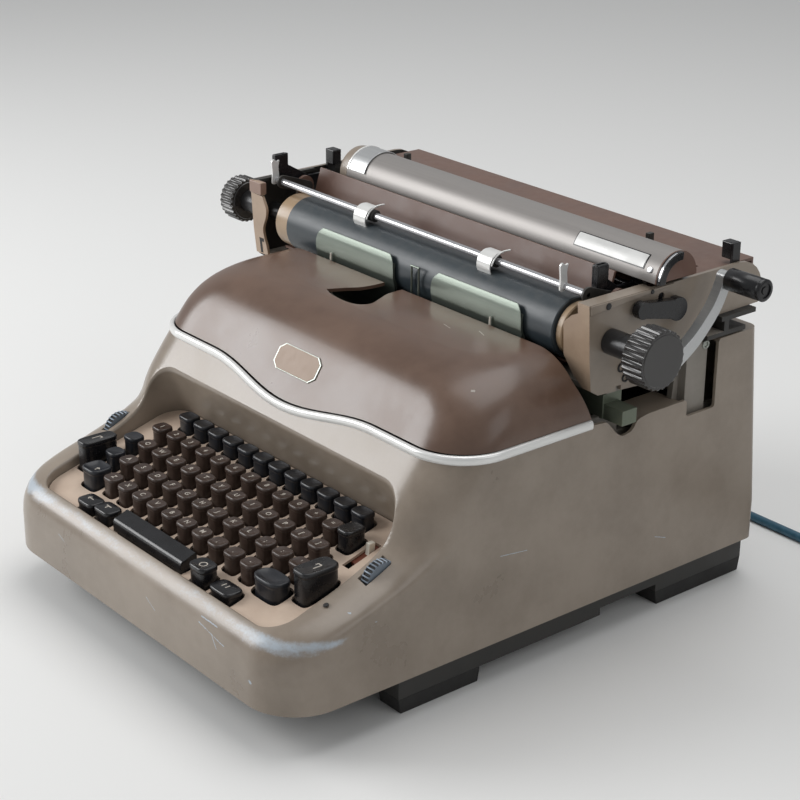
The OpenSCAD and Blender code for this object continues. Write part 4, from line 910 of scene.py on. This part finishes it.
# %% Space bar and plate
SPACE_X, SPACE_Y = (-50, 36), (18.5, 32)
nose = np.radians(np.linspace(180, 90, 9))
bar_foot = plate_z(SPACE_Y[0]) - 3
bar_side = np.concatenate((np.stack((22 + 3.5 * np.cos(nose), 83.5 + 3.5 * np.sin(nose)), 1),
    softened([(30.5, 90.3), (32, 88.5)], 0.4, 2), ((SPACE_Y[1], bar_foot), (SPACE_Y[0], bar_foot))))
skin("space_bar_cap", prism(bar_side, *SPACE_X), black_key, "space_bar", bevel=0.9, steps=3)
holes.append(key_hole(SPACE_X[1] - SPACE_X[0], SPACE_Y[1] - SPACE_Y[0],
    (sum(SPACE_X) / 2, sum(SPACE_Y) / 2, 0)))
plate = well_lines(0.5)
plate_rings = [well_at(meet(lambda x, y, d=d: plate_z(y) - d, plate), *plate) for d in (2.0, 0.0)]
switch_slot = block((123, 130), (88, 116), (60, 140))
plate_mesh = carve(loft(np.stack(plate_rings)), join(*holes, switch_slot))
skin("key_plate", plate_mesh, plate_paint, "keyboard_plate", bevel=0.3, limit=50)
print("holes:", len(holes))

# %% [markdown]
# Grip wheels have ribs along their rims. The radius swings in and out round the wheel as a softened
# square wave, and is drawn in at both ends, so one function makes the thumb wheels and the knobs.


# %% Ribbed wheels
def turned(profile, y, z, cols=64):
    """A profile of x and radius pairs turned round an axle along x at y and z."""
    flat = np.asarray(profile, float)
    a = turn_of(cols)
    x = flat[:, :1] * np.ones((1, cols))
    return loft(np.stack((x, y + flat[:, 1:] * np.cos(a), z + flat[:, 1:] * np.sin(a)), -1))


def riding(shape):
    """A shape drawn from the carriage's own middle, set where the carriage rests."""
    return shape[0] + (REST, 0, 0), shape[1]


def part_finish(obj, index, picks):
    """Gives the faces whose middles pass a test another of the piece's finishes."""
    faces = obj.data.polygons
    which = np.zeros(len(faces), np.int32)
    faces.foreach_get("material_index", which)
    chosen = picks(places_of(faces, "center"))
    faces.foreach_set("material_index", np.where(chosen, index, which).astype(np.int32))
    obj.data.update()


def ribbed(x0, x1, r, ribs, y, z, groove, lip, face=0.0):
    """Wheel along x: radius = r minus the groove's wave minus a rounded lip at both ends."""
    a = turn_of(ribs * 10)
    wave = 0.5 - 0.5 * np.tanh(1.5 * np.cos(ribs * a)) / np.tanh(1.5)
    x = np.array((x0 + face, x0 + face, x0, x0, x0 + 0.3 * lip, x0 + lip, x1 - lip, x1 - 0.3 * lip, x1, x1,
        x1 - face, x1 - face))
    drop = np.array((0, 0, 0, 1.0, 0.35, 0, 0, 0.35, 1.0, 0, 0, 0)) * lip
    depth = np.array((0, 0, 0, 0.15, 0.6, 1, 1, 0.6, 0.15, 0, 0, 0)) * groove
    plain = np.array((0.2, r - 3.2, r - 2.6, 0, 0, 0, 0, 0, 0, r - 2.6, r - 3.2, 0.2))
    rim = np.where(plain[:, None] > 0, plain[:, None], (r - drop)[:, None] - depth[:, None] * wave)
    ring = np.stack((x[:, None] * np.ones_like(rim), y + rim * np.cos(a), z + rim * np.sin(a)), -1)
    return loft(ring)


WHEEL_X, WHEEL_Y, WHEEL_Z, WHEEL_R, WHEEL_W = 157, 93, 99, 14, 3.5


def in_shaded_groove(p):
    """Faces of a thumb wheel that lie deeper than its ribs, which take a black finish as painted shade."""
    deep = np.hypot(p[:, 1] - WHEEL_Y, p[:, 2] - WHEEL_Z) < WHEEL_R - 0.8
    return deep & (np.abs(np.abs(p[:, 0]) - WHEEL_X) < WHEEL_W - 0.2)


for side, node in ((-1, "thumb_wheel_left"), (1, "thumb_wheel_right")):
    rim = ribbed(side * WHEEL_X - WHEEL_W, side * WHEEL_X + WHEEL_W, WHEEL_R, 28, WHEEL_Y, WHEEL_Z, 1.7, 0.6)
    wheel = skin(node + "_ribs", rim, [wheel_steel, rubber], node)
    # The faces in the grooves take the black finish: painted shade between the ribs.
    part_finish(wheel, 1, in_shaded_groove)
AXLE_Y, AXLE_Z = 278.0, 225.0
for node, x0, x1, r in (("platen_knob_left", -241.3, -225, 18.5), ("platen_knob_right", 224, 242, 21)):
    knob = ribbed(REST + x0, REST + x1, r, 26, AXLE_Y, AXLE_Z, 1.9, 1.2, -0.6)
    skin(node + "_ribs", knob, knob_plastic, node)
roll = turned([(-144, 21.2), (-143.2, 22), (159.2, 22), (160, 21.2)], AXLE_Y, AXLE_Z, 96)
skin("platen_roll", riding(roll), platen_rubber, "platen_rubber")
print("ribbed wheels: 4")

# %% [markdown]
# The carriage is bent sheet, rods and small levers whose CAD shape is right. Merged copies of the
# solids with softened edges stand for them, so the light catches every edge.


# %% Metalwork
def merged(node, whole_faces=False):
    """Mesh of a solid with its facets joined. Flat faces in one plane can be made whole too."""
    mesh = solids[node].data.copy()
    work = bmesh.new()
    work.from_mesh(mesh)
    bmesh.ops.remove_doubles(work, verts=work.verts, dist=2e-6)
    if whole_faces:
        bmesh.ops.dissolve_limit(work, angle_limit=math.radians(0.4), verts=work.verts, edges=work.edges)
    work.to_mesh(mesh)
    work.free()
    return mesh


def dressed(node, finish, bevel=0.4, steps=2):
    """A merged copy of a solid with softened edges, which stands for its node."""
    return skin(node + "_skin", merged(node, True), finish, node, bevel=bevel, steps=steps, limit=32)


plain_nodes = ["base_frame", "rubber_feet", "ribbon_deck", "paper_release", "carriage_release_left",
    "carriage_release_right", "line_selector", "margin_stop_left", "margin_stop_right", "paper_table"]
for node in plain_nodes:
    dressed(node, finish_of_slot[slot_of_node[node]])
dressed("card_guides", guide_steel, bevel=0.3)
# The end of the front rail, which shows in the notch, is bare. The bed's panel behind
# the rail is brown, and the fins under it are dark.
frames = dressed("side_frames", [frame_paint, bar_steel])
part_finish(frames, 1, lambda p: (p[:, 1] > 278) & (p[:, 1] < 298) & (p[:, 2] > 165) & (p[:, 2] < 186))
dressed("return_lever", aluminium, bevel=1.2, steps=3)
bed = dressed("carriage_bed", [frame_paint, table_paint, dark_metal])
part_finish(bed, 1, lambda p: p[:, 2] > 229)
part_finish(bed, 2, lambda p: (p[:, 1] > 371) & (p[:, 2] < 220))
release_heads = [block((-187.2, -181.9), (274.2, 286.8), (254, 273)),
    block((164.8, 171.6), (286.2, 297), (252, 270))]
piece("release_heads", riding(join(*release_heads)), black_key, "release", "black_plastic", bevel=1.4, steps=3)
for node, x0, y in (("carriage_release_left", -189.2, 335), ("carriage_release_right", 179.4, 405)):
    head = block((x0, x0 + 9.8), (y - 4.2, y + 4.2), (255.6, 268.2))
    piece(node + "_head", riding(head), black_key, body_of_node[node], "black_plastic", bevel=1.2, steps=3)
grip = [(213, 5), (213, 7.4), (213.6, 8), (240.4, 8), (241, 7.3), (241.6, 7.3), (242, 8), (244.2, 8),
    (244.8, 7.4), (244.8, 5.4), (243.8, 5.2), (243.8, 2.9), (244.5, 2.6), (244.5, 0.05)]
skin("lever_handle_grip", riding(turned(grip, 373, 254)), black_key, "lever_handle", sharp=50)
shaft_steel = drawn("dark shaft steel", (44, 44, 45), (56, 56, 57), 0.3, 0.4, 0.05, 0.03, 500, 40, 40)
shaft = dressed("platen_shaft", [shaft_steel, collar_paint])
part_finish(shaft, 1, lambda p: (p[:, 0] > REST - 165) & (p[:, 0] < REST - 140))
collar = [(160.4, 8), (160.4, 18.4), (161.2, 19.2), (165.6, 19.2), (166.4, 18.4), (166.4, 8)]
piece("platen_collar", riding(turned(collar, AXLE_Y, AXLE_Z)), collar_paint, "platen", "steel")
slider = dressed("power_switch", [white_plastic, red_paint], bevel=0.5)
part_finish(slider, 1, lambda p: p[:, 2] < plate_z(p[:, 1]) - 1.5)

# %% [markdown]
# The left bracket is narrower than its solid: its inner edge swings in and out between the platen's
# collar and the knob. The right plate carries a wedge-shaped strip with two screws along its top.
# Both flanges are tan in front, and the left plate is dark on the inside. Small fittings are made by
# two helpers: a stud is a short turned head that looks any way, and a hoop is a ring of wire.


# %% End plates
def across_from(facing):
    """Two directions square to a direction."""
    f = np.asarray(facing, float) / np.linalg.norm(facing)
    side = np.cross(f, (0.0, 0.0, 1.0)) if abs(f[2]) < 0.9 else np.array((1.0, 0.0, 0.0))
    side /= np.linalg.norm(side)
    return f, side, np.cross(f, side)


def stud(at, facing, r, h, n=20):
    """Round head with a softened rim, which stands out of a face."""
    f, side, over = across_from(facing)
    a = turn_of(n)[None, :, None]
    rows = np.array(((r, -0.4), (r, 0.55 * h), (0.86 * r, 0.9 * h), (0.6 * r, h), (0.05, h)))
    around = np.cos(a) * side + np.sin(a) * over
    return loft(np.asarray(at, float) + rows[:, :1, None] * around + rows[:, 1:, None] * f)


def hoop(at, facing, r, t, n=24, m=10):
    """Ring of round wire."""
    f, side, over = across_from(facing)
    a = turn_of(n)[:, None, None]
    b = turn_of(m)[None, :, None]
    around = np.cos(a) * side + np.sin(a) * over
    p = np.asarray(at, float) + (r + t * np.cos(b)) * around - t * np.sin(b) * f
    return p.reshape(-1, 3), [grid_faces(n, m, True)]


FLANGE_REAR = 264.6
waist = smooth_line([(16, 262), (16, 244), (16.8, 240.5), (19.8, 233), (18.6, 226), (13.8, 216), (13.8, 208),
    (15.8, 200), (16.8, 186)], 6)
face = waist[(waist[:, 1] < 243.6) & (waist[:, 1] > 192.2)] + (-193.5, 0)
face = np.concatenate((((-193.4, 192.2), (-193.4, 214), (-193.4, 243.6)), face))


def leaning(line, y0, y1):
    """Plate in the slanting plane of the flange, y0 to y1 behind its front."""
    points, faces = carried(line, 1, y1, y0)
    return points + np.interp(points[:, 2:], (192, 214, 254), (262, 259.5, 257)) * (0, 1, 0), faces


flange = [(-160, 185), (-160, 262), (-177.5, 262), (-177.5, 243.6), (-194.5, 243.6), (-194.5, 185)]
left_mesh = carve(merged("left_end_plate"), riding(carried(flange, 1, 264.4, 250)))
left_bracket = skin("left_end_plate_skin", left_mesh, [housing_paint, flange_paint, dark_metal],
    "left_end_plate", bevel=0.5)
part_finish(left_bracket, 2, lambda p: (p[:, 0] > REST - 191.3) & (p[:, 1] > FLANGE_REAR))
piece("left_bracket_face", riding(leaning(face, 0.05, 2.45)), flange_paint, "carriage", "housing", bevel=0.4)
# Painted shade: a thin black sheet on the flange stands for the dark opening of its slot.
slot = [(-186.6, 193.5), (-183.6, 193.5), (-183.6, 203.4), (-180.6, 203.4), (-180.6, 206.4), (-186.6, 206.4)]
piece("left_bracket_slot_shade", riding(leaning(slot, -0.05, 0.4)), rubber, "carriage", "rubber")
right_bracket = dressed("right_end_plate", [housing_paint, flange_paint], bevel=0.5)
for bracket in (left_bracket, right_bracket):
    part_finish(bracket, 1, lambda p: p[:, 1] < FLANGE_REAR)
cap_block = block((-193.4, -177.4), (256.2, 262), (243.8, 253.9))
piece("left_bracket_block", riding(cap_block), bracket_paint, "carriage", "housing", bevel=0.9, steps=3)
wedge = prism([(258, 247.2), (258, 253.7), (338, 253.7), (338, 252.6)], 193.4, 194.6)
piece("end_plate_strip", riding(wedge), housing_paint, "carriage", "housing", bevel=0.4)
heads = [stud((194.5, 274.1, 250.6), (1, 0, 0), 2.4, 0.9), stud((194.5, 315.8, 252.0), (1, 0, 0), 1.6, 0.7)]
rings = [hoop((193.9, 290.4, 202.9), (1, 0, 0), 3.0, 0.7), hoop((193.9, 294.6, 194.4), (1, 0, 0), 2.6, 0.7)]
piece("end_plate_screws", riding(join(*heads, *rings)), shaft_steel, "carriage", "steel")
post = (375.5, 199.5)
post_ring = join(hoop((172.3, *post), (1, 0, 0), 2.6, 0.9), stud((172, *post), (1, 0, 0), 1.5, 0.5))
piece("post_screws", join(post_ring, flipped(post_ring)), steel, "chassis", "steel")
print("brackets ready")

# %% [markdown]
# The paper rail is a half-round shell. A round cap closes its left end, and a brown plate its right
# end, with a black ring and a bright band. A bare name plate lies on its front, a skirt hangs from
# its rear edge, and the paper guide grips it.

# %% Paper rail
RAIL_Y, RAIL_Z, RAIL_R = 335.0, 258.0, 20.0


def rail_arc(r, low=0, high=180, n=48):
    """Points of the rail's round between two angles."""
    a = np.radians(np.linspace(low, high, n))
    return np.stack((RAIL_Y + r * np.cos(a), RAIL_Z + r * np.sin(a)), 1)


def rail_band(r0, r1, x0, x1, low=0, high=180):
    """Part of a tube along the rail between two angles."""
    arcs = rail_arc(r1, low, high), rail_arc(r0, low, high)[::-1]
    return prism(np.concatenate(arcs), REST + x0, REST + x1)


def rail_cap(rows):
    """Half discs of x and radius pairs that close the rail."""
    return loft(np.stack([np.insert(rail_arc(r), 0, REST + x, 1) for x, r in rows]))


skin("paper_rail_shell", rail_band(18.2, RAIL_R, -142, 197), rail_metal, "paper_rail", bevel=0.3, limit=50)
legs = [block((REST + x, REST + x + 6), (331, 341), (209, 262)) for x in (-153, 160)]
legs += [block((REST + x, REST + x + 14), (331, 365), (207.6, 210)) for x in (-153, 152)]
piece("paper_rail_legs", join(*legs), frame_paint, "carriage", "aluminium", bevel=0.4)
left_cap = rail_cap([(-153, 15), (-152.8, 17), (-152, 18.7), (-150.6, 19.7), (-148.8, RAIL_R), (-142, RAIL_R)])
piece("paper_rail_cap_left", left_cap, housing_paint, "carriage", "housing", sharp=60)
piece("paper_rail_cap_right", rail_cap([(197.05, RAIL_R), (198, RAIL_R)]), table_paint, "carriage", "table")
skirt = block((-146, 188), (351.8, 353.2), (222, 258.4))
piece("paper_rail_skirt", riding(skirt), table_paint, "carriage", "table")
bands = {"paper_rail_end": ((14.5, RAIL_R - 0.1, 198.1, 202, 84, 180), black_key, "black_plastic", 0.3),
    "paper_rail_band": ((17, RAIL_R + 0.1, 199.4, 201, 100, 172), chrome, "chrome", 0.2),
    "name_plate": ((19.7, 20.55, 117, 184, 128, 156), bare_plate, "aluminium", 0.15),
    "name_plate_edge": ((19.6, 20.3, 116.2, 184.8, 125.8, 158.2), black_key, "black_plastic", 0)}
for name, (band, look, slot, bevel) in bands.items():
    piece(name, rail_band(*band), look, "carriage", slot, bevel=bevel, limit=50)
screw = stud((190.5, RAIL_Y - 18.2, RAIL_Z + 8.2), (0, -0.91, 0.41), 2.2, 1.0)
piece("rail_screw", riding(screw), chrome, "carriage", "chrome")
sleeve, lip = (rail_band(20.45, r, -140.5, x, 18, 162) for r, x in ((21.3, -119), (21.8, -138.8)))
skin("paper_guide_sleeve", sleeve, aluminium, "paper_guide", bevel=0.2, limit=50)
piece("paper_guide_edge", lip, trim_metal, "guide", "chrome", bevel=0.2, limit=50)
print("rail ready")

# %% [markdown]
# The paper bail is a bright rod on two arms. A folded clip sits in front of each roller, and a small
# wing at each end lifts the rod.


# %% Paper bail
def bar(start, end, r0, r1, n=9):
    """Side outline of a bar with round ends, from one y and z point to another."""
    a, b = np.asarray(start, float), np.asarray(end, float)
    swing = np.arctan2(*(b - a)[::-1]) + np.linspace(-0.5, 0.5, n) * np.pi
    way = np.stack((np.cos(swing), np.sin(swing)), 1)
    return np.concatenate((b + r1 * way, a - r0 * way))


def strip(line, t):
    """Side outline of a thin bent sheet whose middle follows a line."""
    p = np.asarray(line, float)
    run = np.gradient(p, axis=0)
    side = unit(np.stack((-run[:, 1], run[:, 0]), 1)) * t / 2
    return np.concatenate((p + side, (p - side)[::-1]))


def tube(line, r, cols=10):
    """Round wire along a line of points."""
    p = np.asarray(line, float)
    run = unit(np.gradient(p, axis=0))
    side = unit(np.cross(run, (0.3, 0.2, 0.93)))
    over = np.cross(run, side)
    a = turn_of(cols)[None, :, None]
    return loft(p[:, None] + r * (np.cos(a) * side[:, None] + np.sin(a) * over[:, None]))


BAIL = 275, 253
PIVOT = 300, 245
rod = turned([(-181, 1.6), (-180.3, 2.7), (173.8, 2.7), (174.5, 1.6)], *BAIL, 24)
arms = [prism(bar(BAIL, PIVOT, 5.4, 4.6), x, x + 2) for x in (-174.5, 172.5)]
arms += [turned([(x, 2.5), (x + 5.5, 2.5)], *PIVOT, 20) for x in (-179, 173.5)]
skin("paper_bail_rod", riding(rod), rod_steel, "paper_bail")
piece("paper_bail_arms", riding(join(*arms)), dark_metal, "bail", "chrome", bevel=0.3)
for node, x in (("bail_roller_left", -65), ("bail_roller_right", 72)):
    sleeve = [(x, 2.8), (x, 4.2), (x + 0.5, 4.7), (x + 10.9, 4.7), (x + 11.5, 4.2), (x + 11.5, 2.8)]
    skin(node + "_sleeve", riding(turned(sleeve, *BAIL, 40)), rubber, node)
wing_line = softened([(-5.5, -3), (1.6, -3), (1.2, 5), (0.6, 11), (2, 17), (-0.8, 15), (-3.4, 18), (-6, 16),
    (-5, 7)], 2)
wings = [prism(wing_line + BAIL, x, x + 1.6) for x in (-181.4, 151)]
clip_line = smooth_line([(268.3, 244.8), (267.2, 248), (267.4, 252), (269.2, 255.6), (272.2, 258),
    (275.6, 258.9), (280, 258.6)], 3)
clips = [prism(strip(clip_line, 0.9), x, x + 14) for x in (-71.5, 70)]
wires = []
for x in (-56.9, 84.6):
    bend = smooth_line([(x, 267.9, 251), (x + 1, 270.6, 257), (x + 2, 276.4, 260.6), (x + 3, 283, 261)], 5)
    wires.append(tube(bend, 0.6))
piece("paper_bail_clips", riding(join(*wings, *clips, *wires)), trim_metal, "bail", "chrome", bevel=0.25)
print("bail ready")

# %% [markdown]
# Each card guide has a folded top edge, and a white pin stands in front of it. The pins are fixed to
# the deck between the cover and the guides. A flat dark disc in the right rim is painted shade: it
# stands for a small hole there.

# %% Guide details
def guide_sheet(x0, x1):
    """Sheet that bends back at its top, where its corners are cut off."""
    line = smooth_line([(255.2, 188, 0), (255, 200, 0), (254.4, 213, 0), (253.1, 221, 0), (252.9, 227, 0),
        (253.4, 232, 1.2), (254.2, 235, 3.2), (255.2, 237.8, 6.5)], 4)
    y, z, cut = line.T
    front = np.stack([np.stack((x, y, z), 1) for x in (x0 + cut, x1 - cut)], 1)
    return loft(np.concatenate((front, front[:, ::-1] + (0, 0.6, 0.1)), 1))


sheets = join(guide_sheet(-121.5, -27.5), guide_sheet(15.5, 111.5))
piece("card_guide_sheets", sheets, guide_steel, "chassis", "steel", bevel=0.25, sharp=50)
# Painted shade: a flat dark disc stands for the small hole in the right rim.
piece("rim_hole_shade", stud((155.1, 50.3, 94.1), (0, -0.3, 0.95), 1.9, 0.2), rubber, "chassis", "rubber")
pins = join(*[stud((x, 251.7, 188), (0, 0, 1), 1.0, 34) for x in (-101, 81.4)])
piece("guide_pins", pins, white_plastic, "chassis", "white_plastic")
print("guides ready")

# %% [markdown]
# A machine like this carries a badge on its cover. It stays bare here: a blank plate of the right
# size, with a bright border round it.

# %% Bare badge
slope = np.array((0, 5.5, 8.5)) / np.hypot(5.5, 8.5)
facing = np.array((0, -slope[2], slope[1]))
eight = np.array(((-24.5, -5.4), (-19, -9.8), (19, -9.8), (24.5, -5.4), (24.5, 5.4), (19, 9.8), (-19, 9.8),
    (-24.5, 5.4)), float)
badge_middle = np.array((-4, 147.5, 186.5))
badge_plates = [("cover_badge_edge", 1.0, -1.5, 0.8, steel), ("cover_badge", 0.95, 0.2, 1.0, badge_metal)]
for name, size, low, high, metal in badge_plates:
    flat = size * (eight[:, :1] * np.array((1, 0, 0)) + eight[:, 1:] * slope) + badge_middle
    blank = loft(np.stack([flat + facing * h for h in (low, high)]))
    piece(name, blank, metal, "cover", "aluminium", bevel=0.4)
print("badge ready")

# %% [markdown]
# The machine stands on a pale floor in soft light: one wide lamp from the front left, a weaker one
# from the right and a broad one overhead.

# %% Floor and light
bpy.ops.mesh.primitive_plane_add(size=8)
floor = bpy.context.object
floor.name = "floor"
pale = bpy.data.materials.new("pale floor")
pale.use_nodes = True
pale_shader = pale.node_tree.nodes["Principled BSDF"].inputs
pale_shader["Base Color"].default_value = (0.80, 0.80, 0.79, 1)
pale_shader["Roughness"].default_value = 0.6
floor.data.materials.append(pale)
world = bpy.data.worlds.new("studio")
scene.world = world
world.use_nodes = True
sky = world.node_tree.nodes["Background"].inputs
sky["Color"].default_value = (0.86, 0.87, 0.88, 1)
sky["Strength"].default_value = 0.44


def lamp(name, place, aim, size, power):
    """A square lamp that looks at a point."""
    light = bpy.data.lights.new(name, "AREA")
    light.size = size
    light.energy = power
    obj = linked(name, light)
    obj.location = place
    obj.rotation_euler = (Vector(aim) - Vector(place)).to_track_quat("-Z", "Y").to_euler()


lamp("front_left", (-1.5, -1.3, 1.05), (0, 0, 0.14), 1.2, 32)
lamp("right", (1.9, 0.5, 1.3), (0, 0, 0.12), 1.2, 4.5)
lamp("overhead", (0.0, 0.5, 2.1), (0, 0, 0.1), 1.6, 18)
print("lamps: 3")
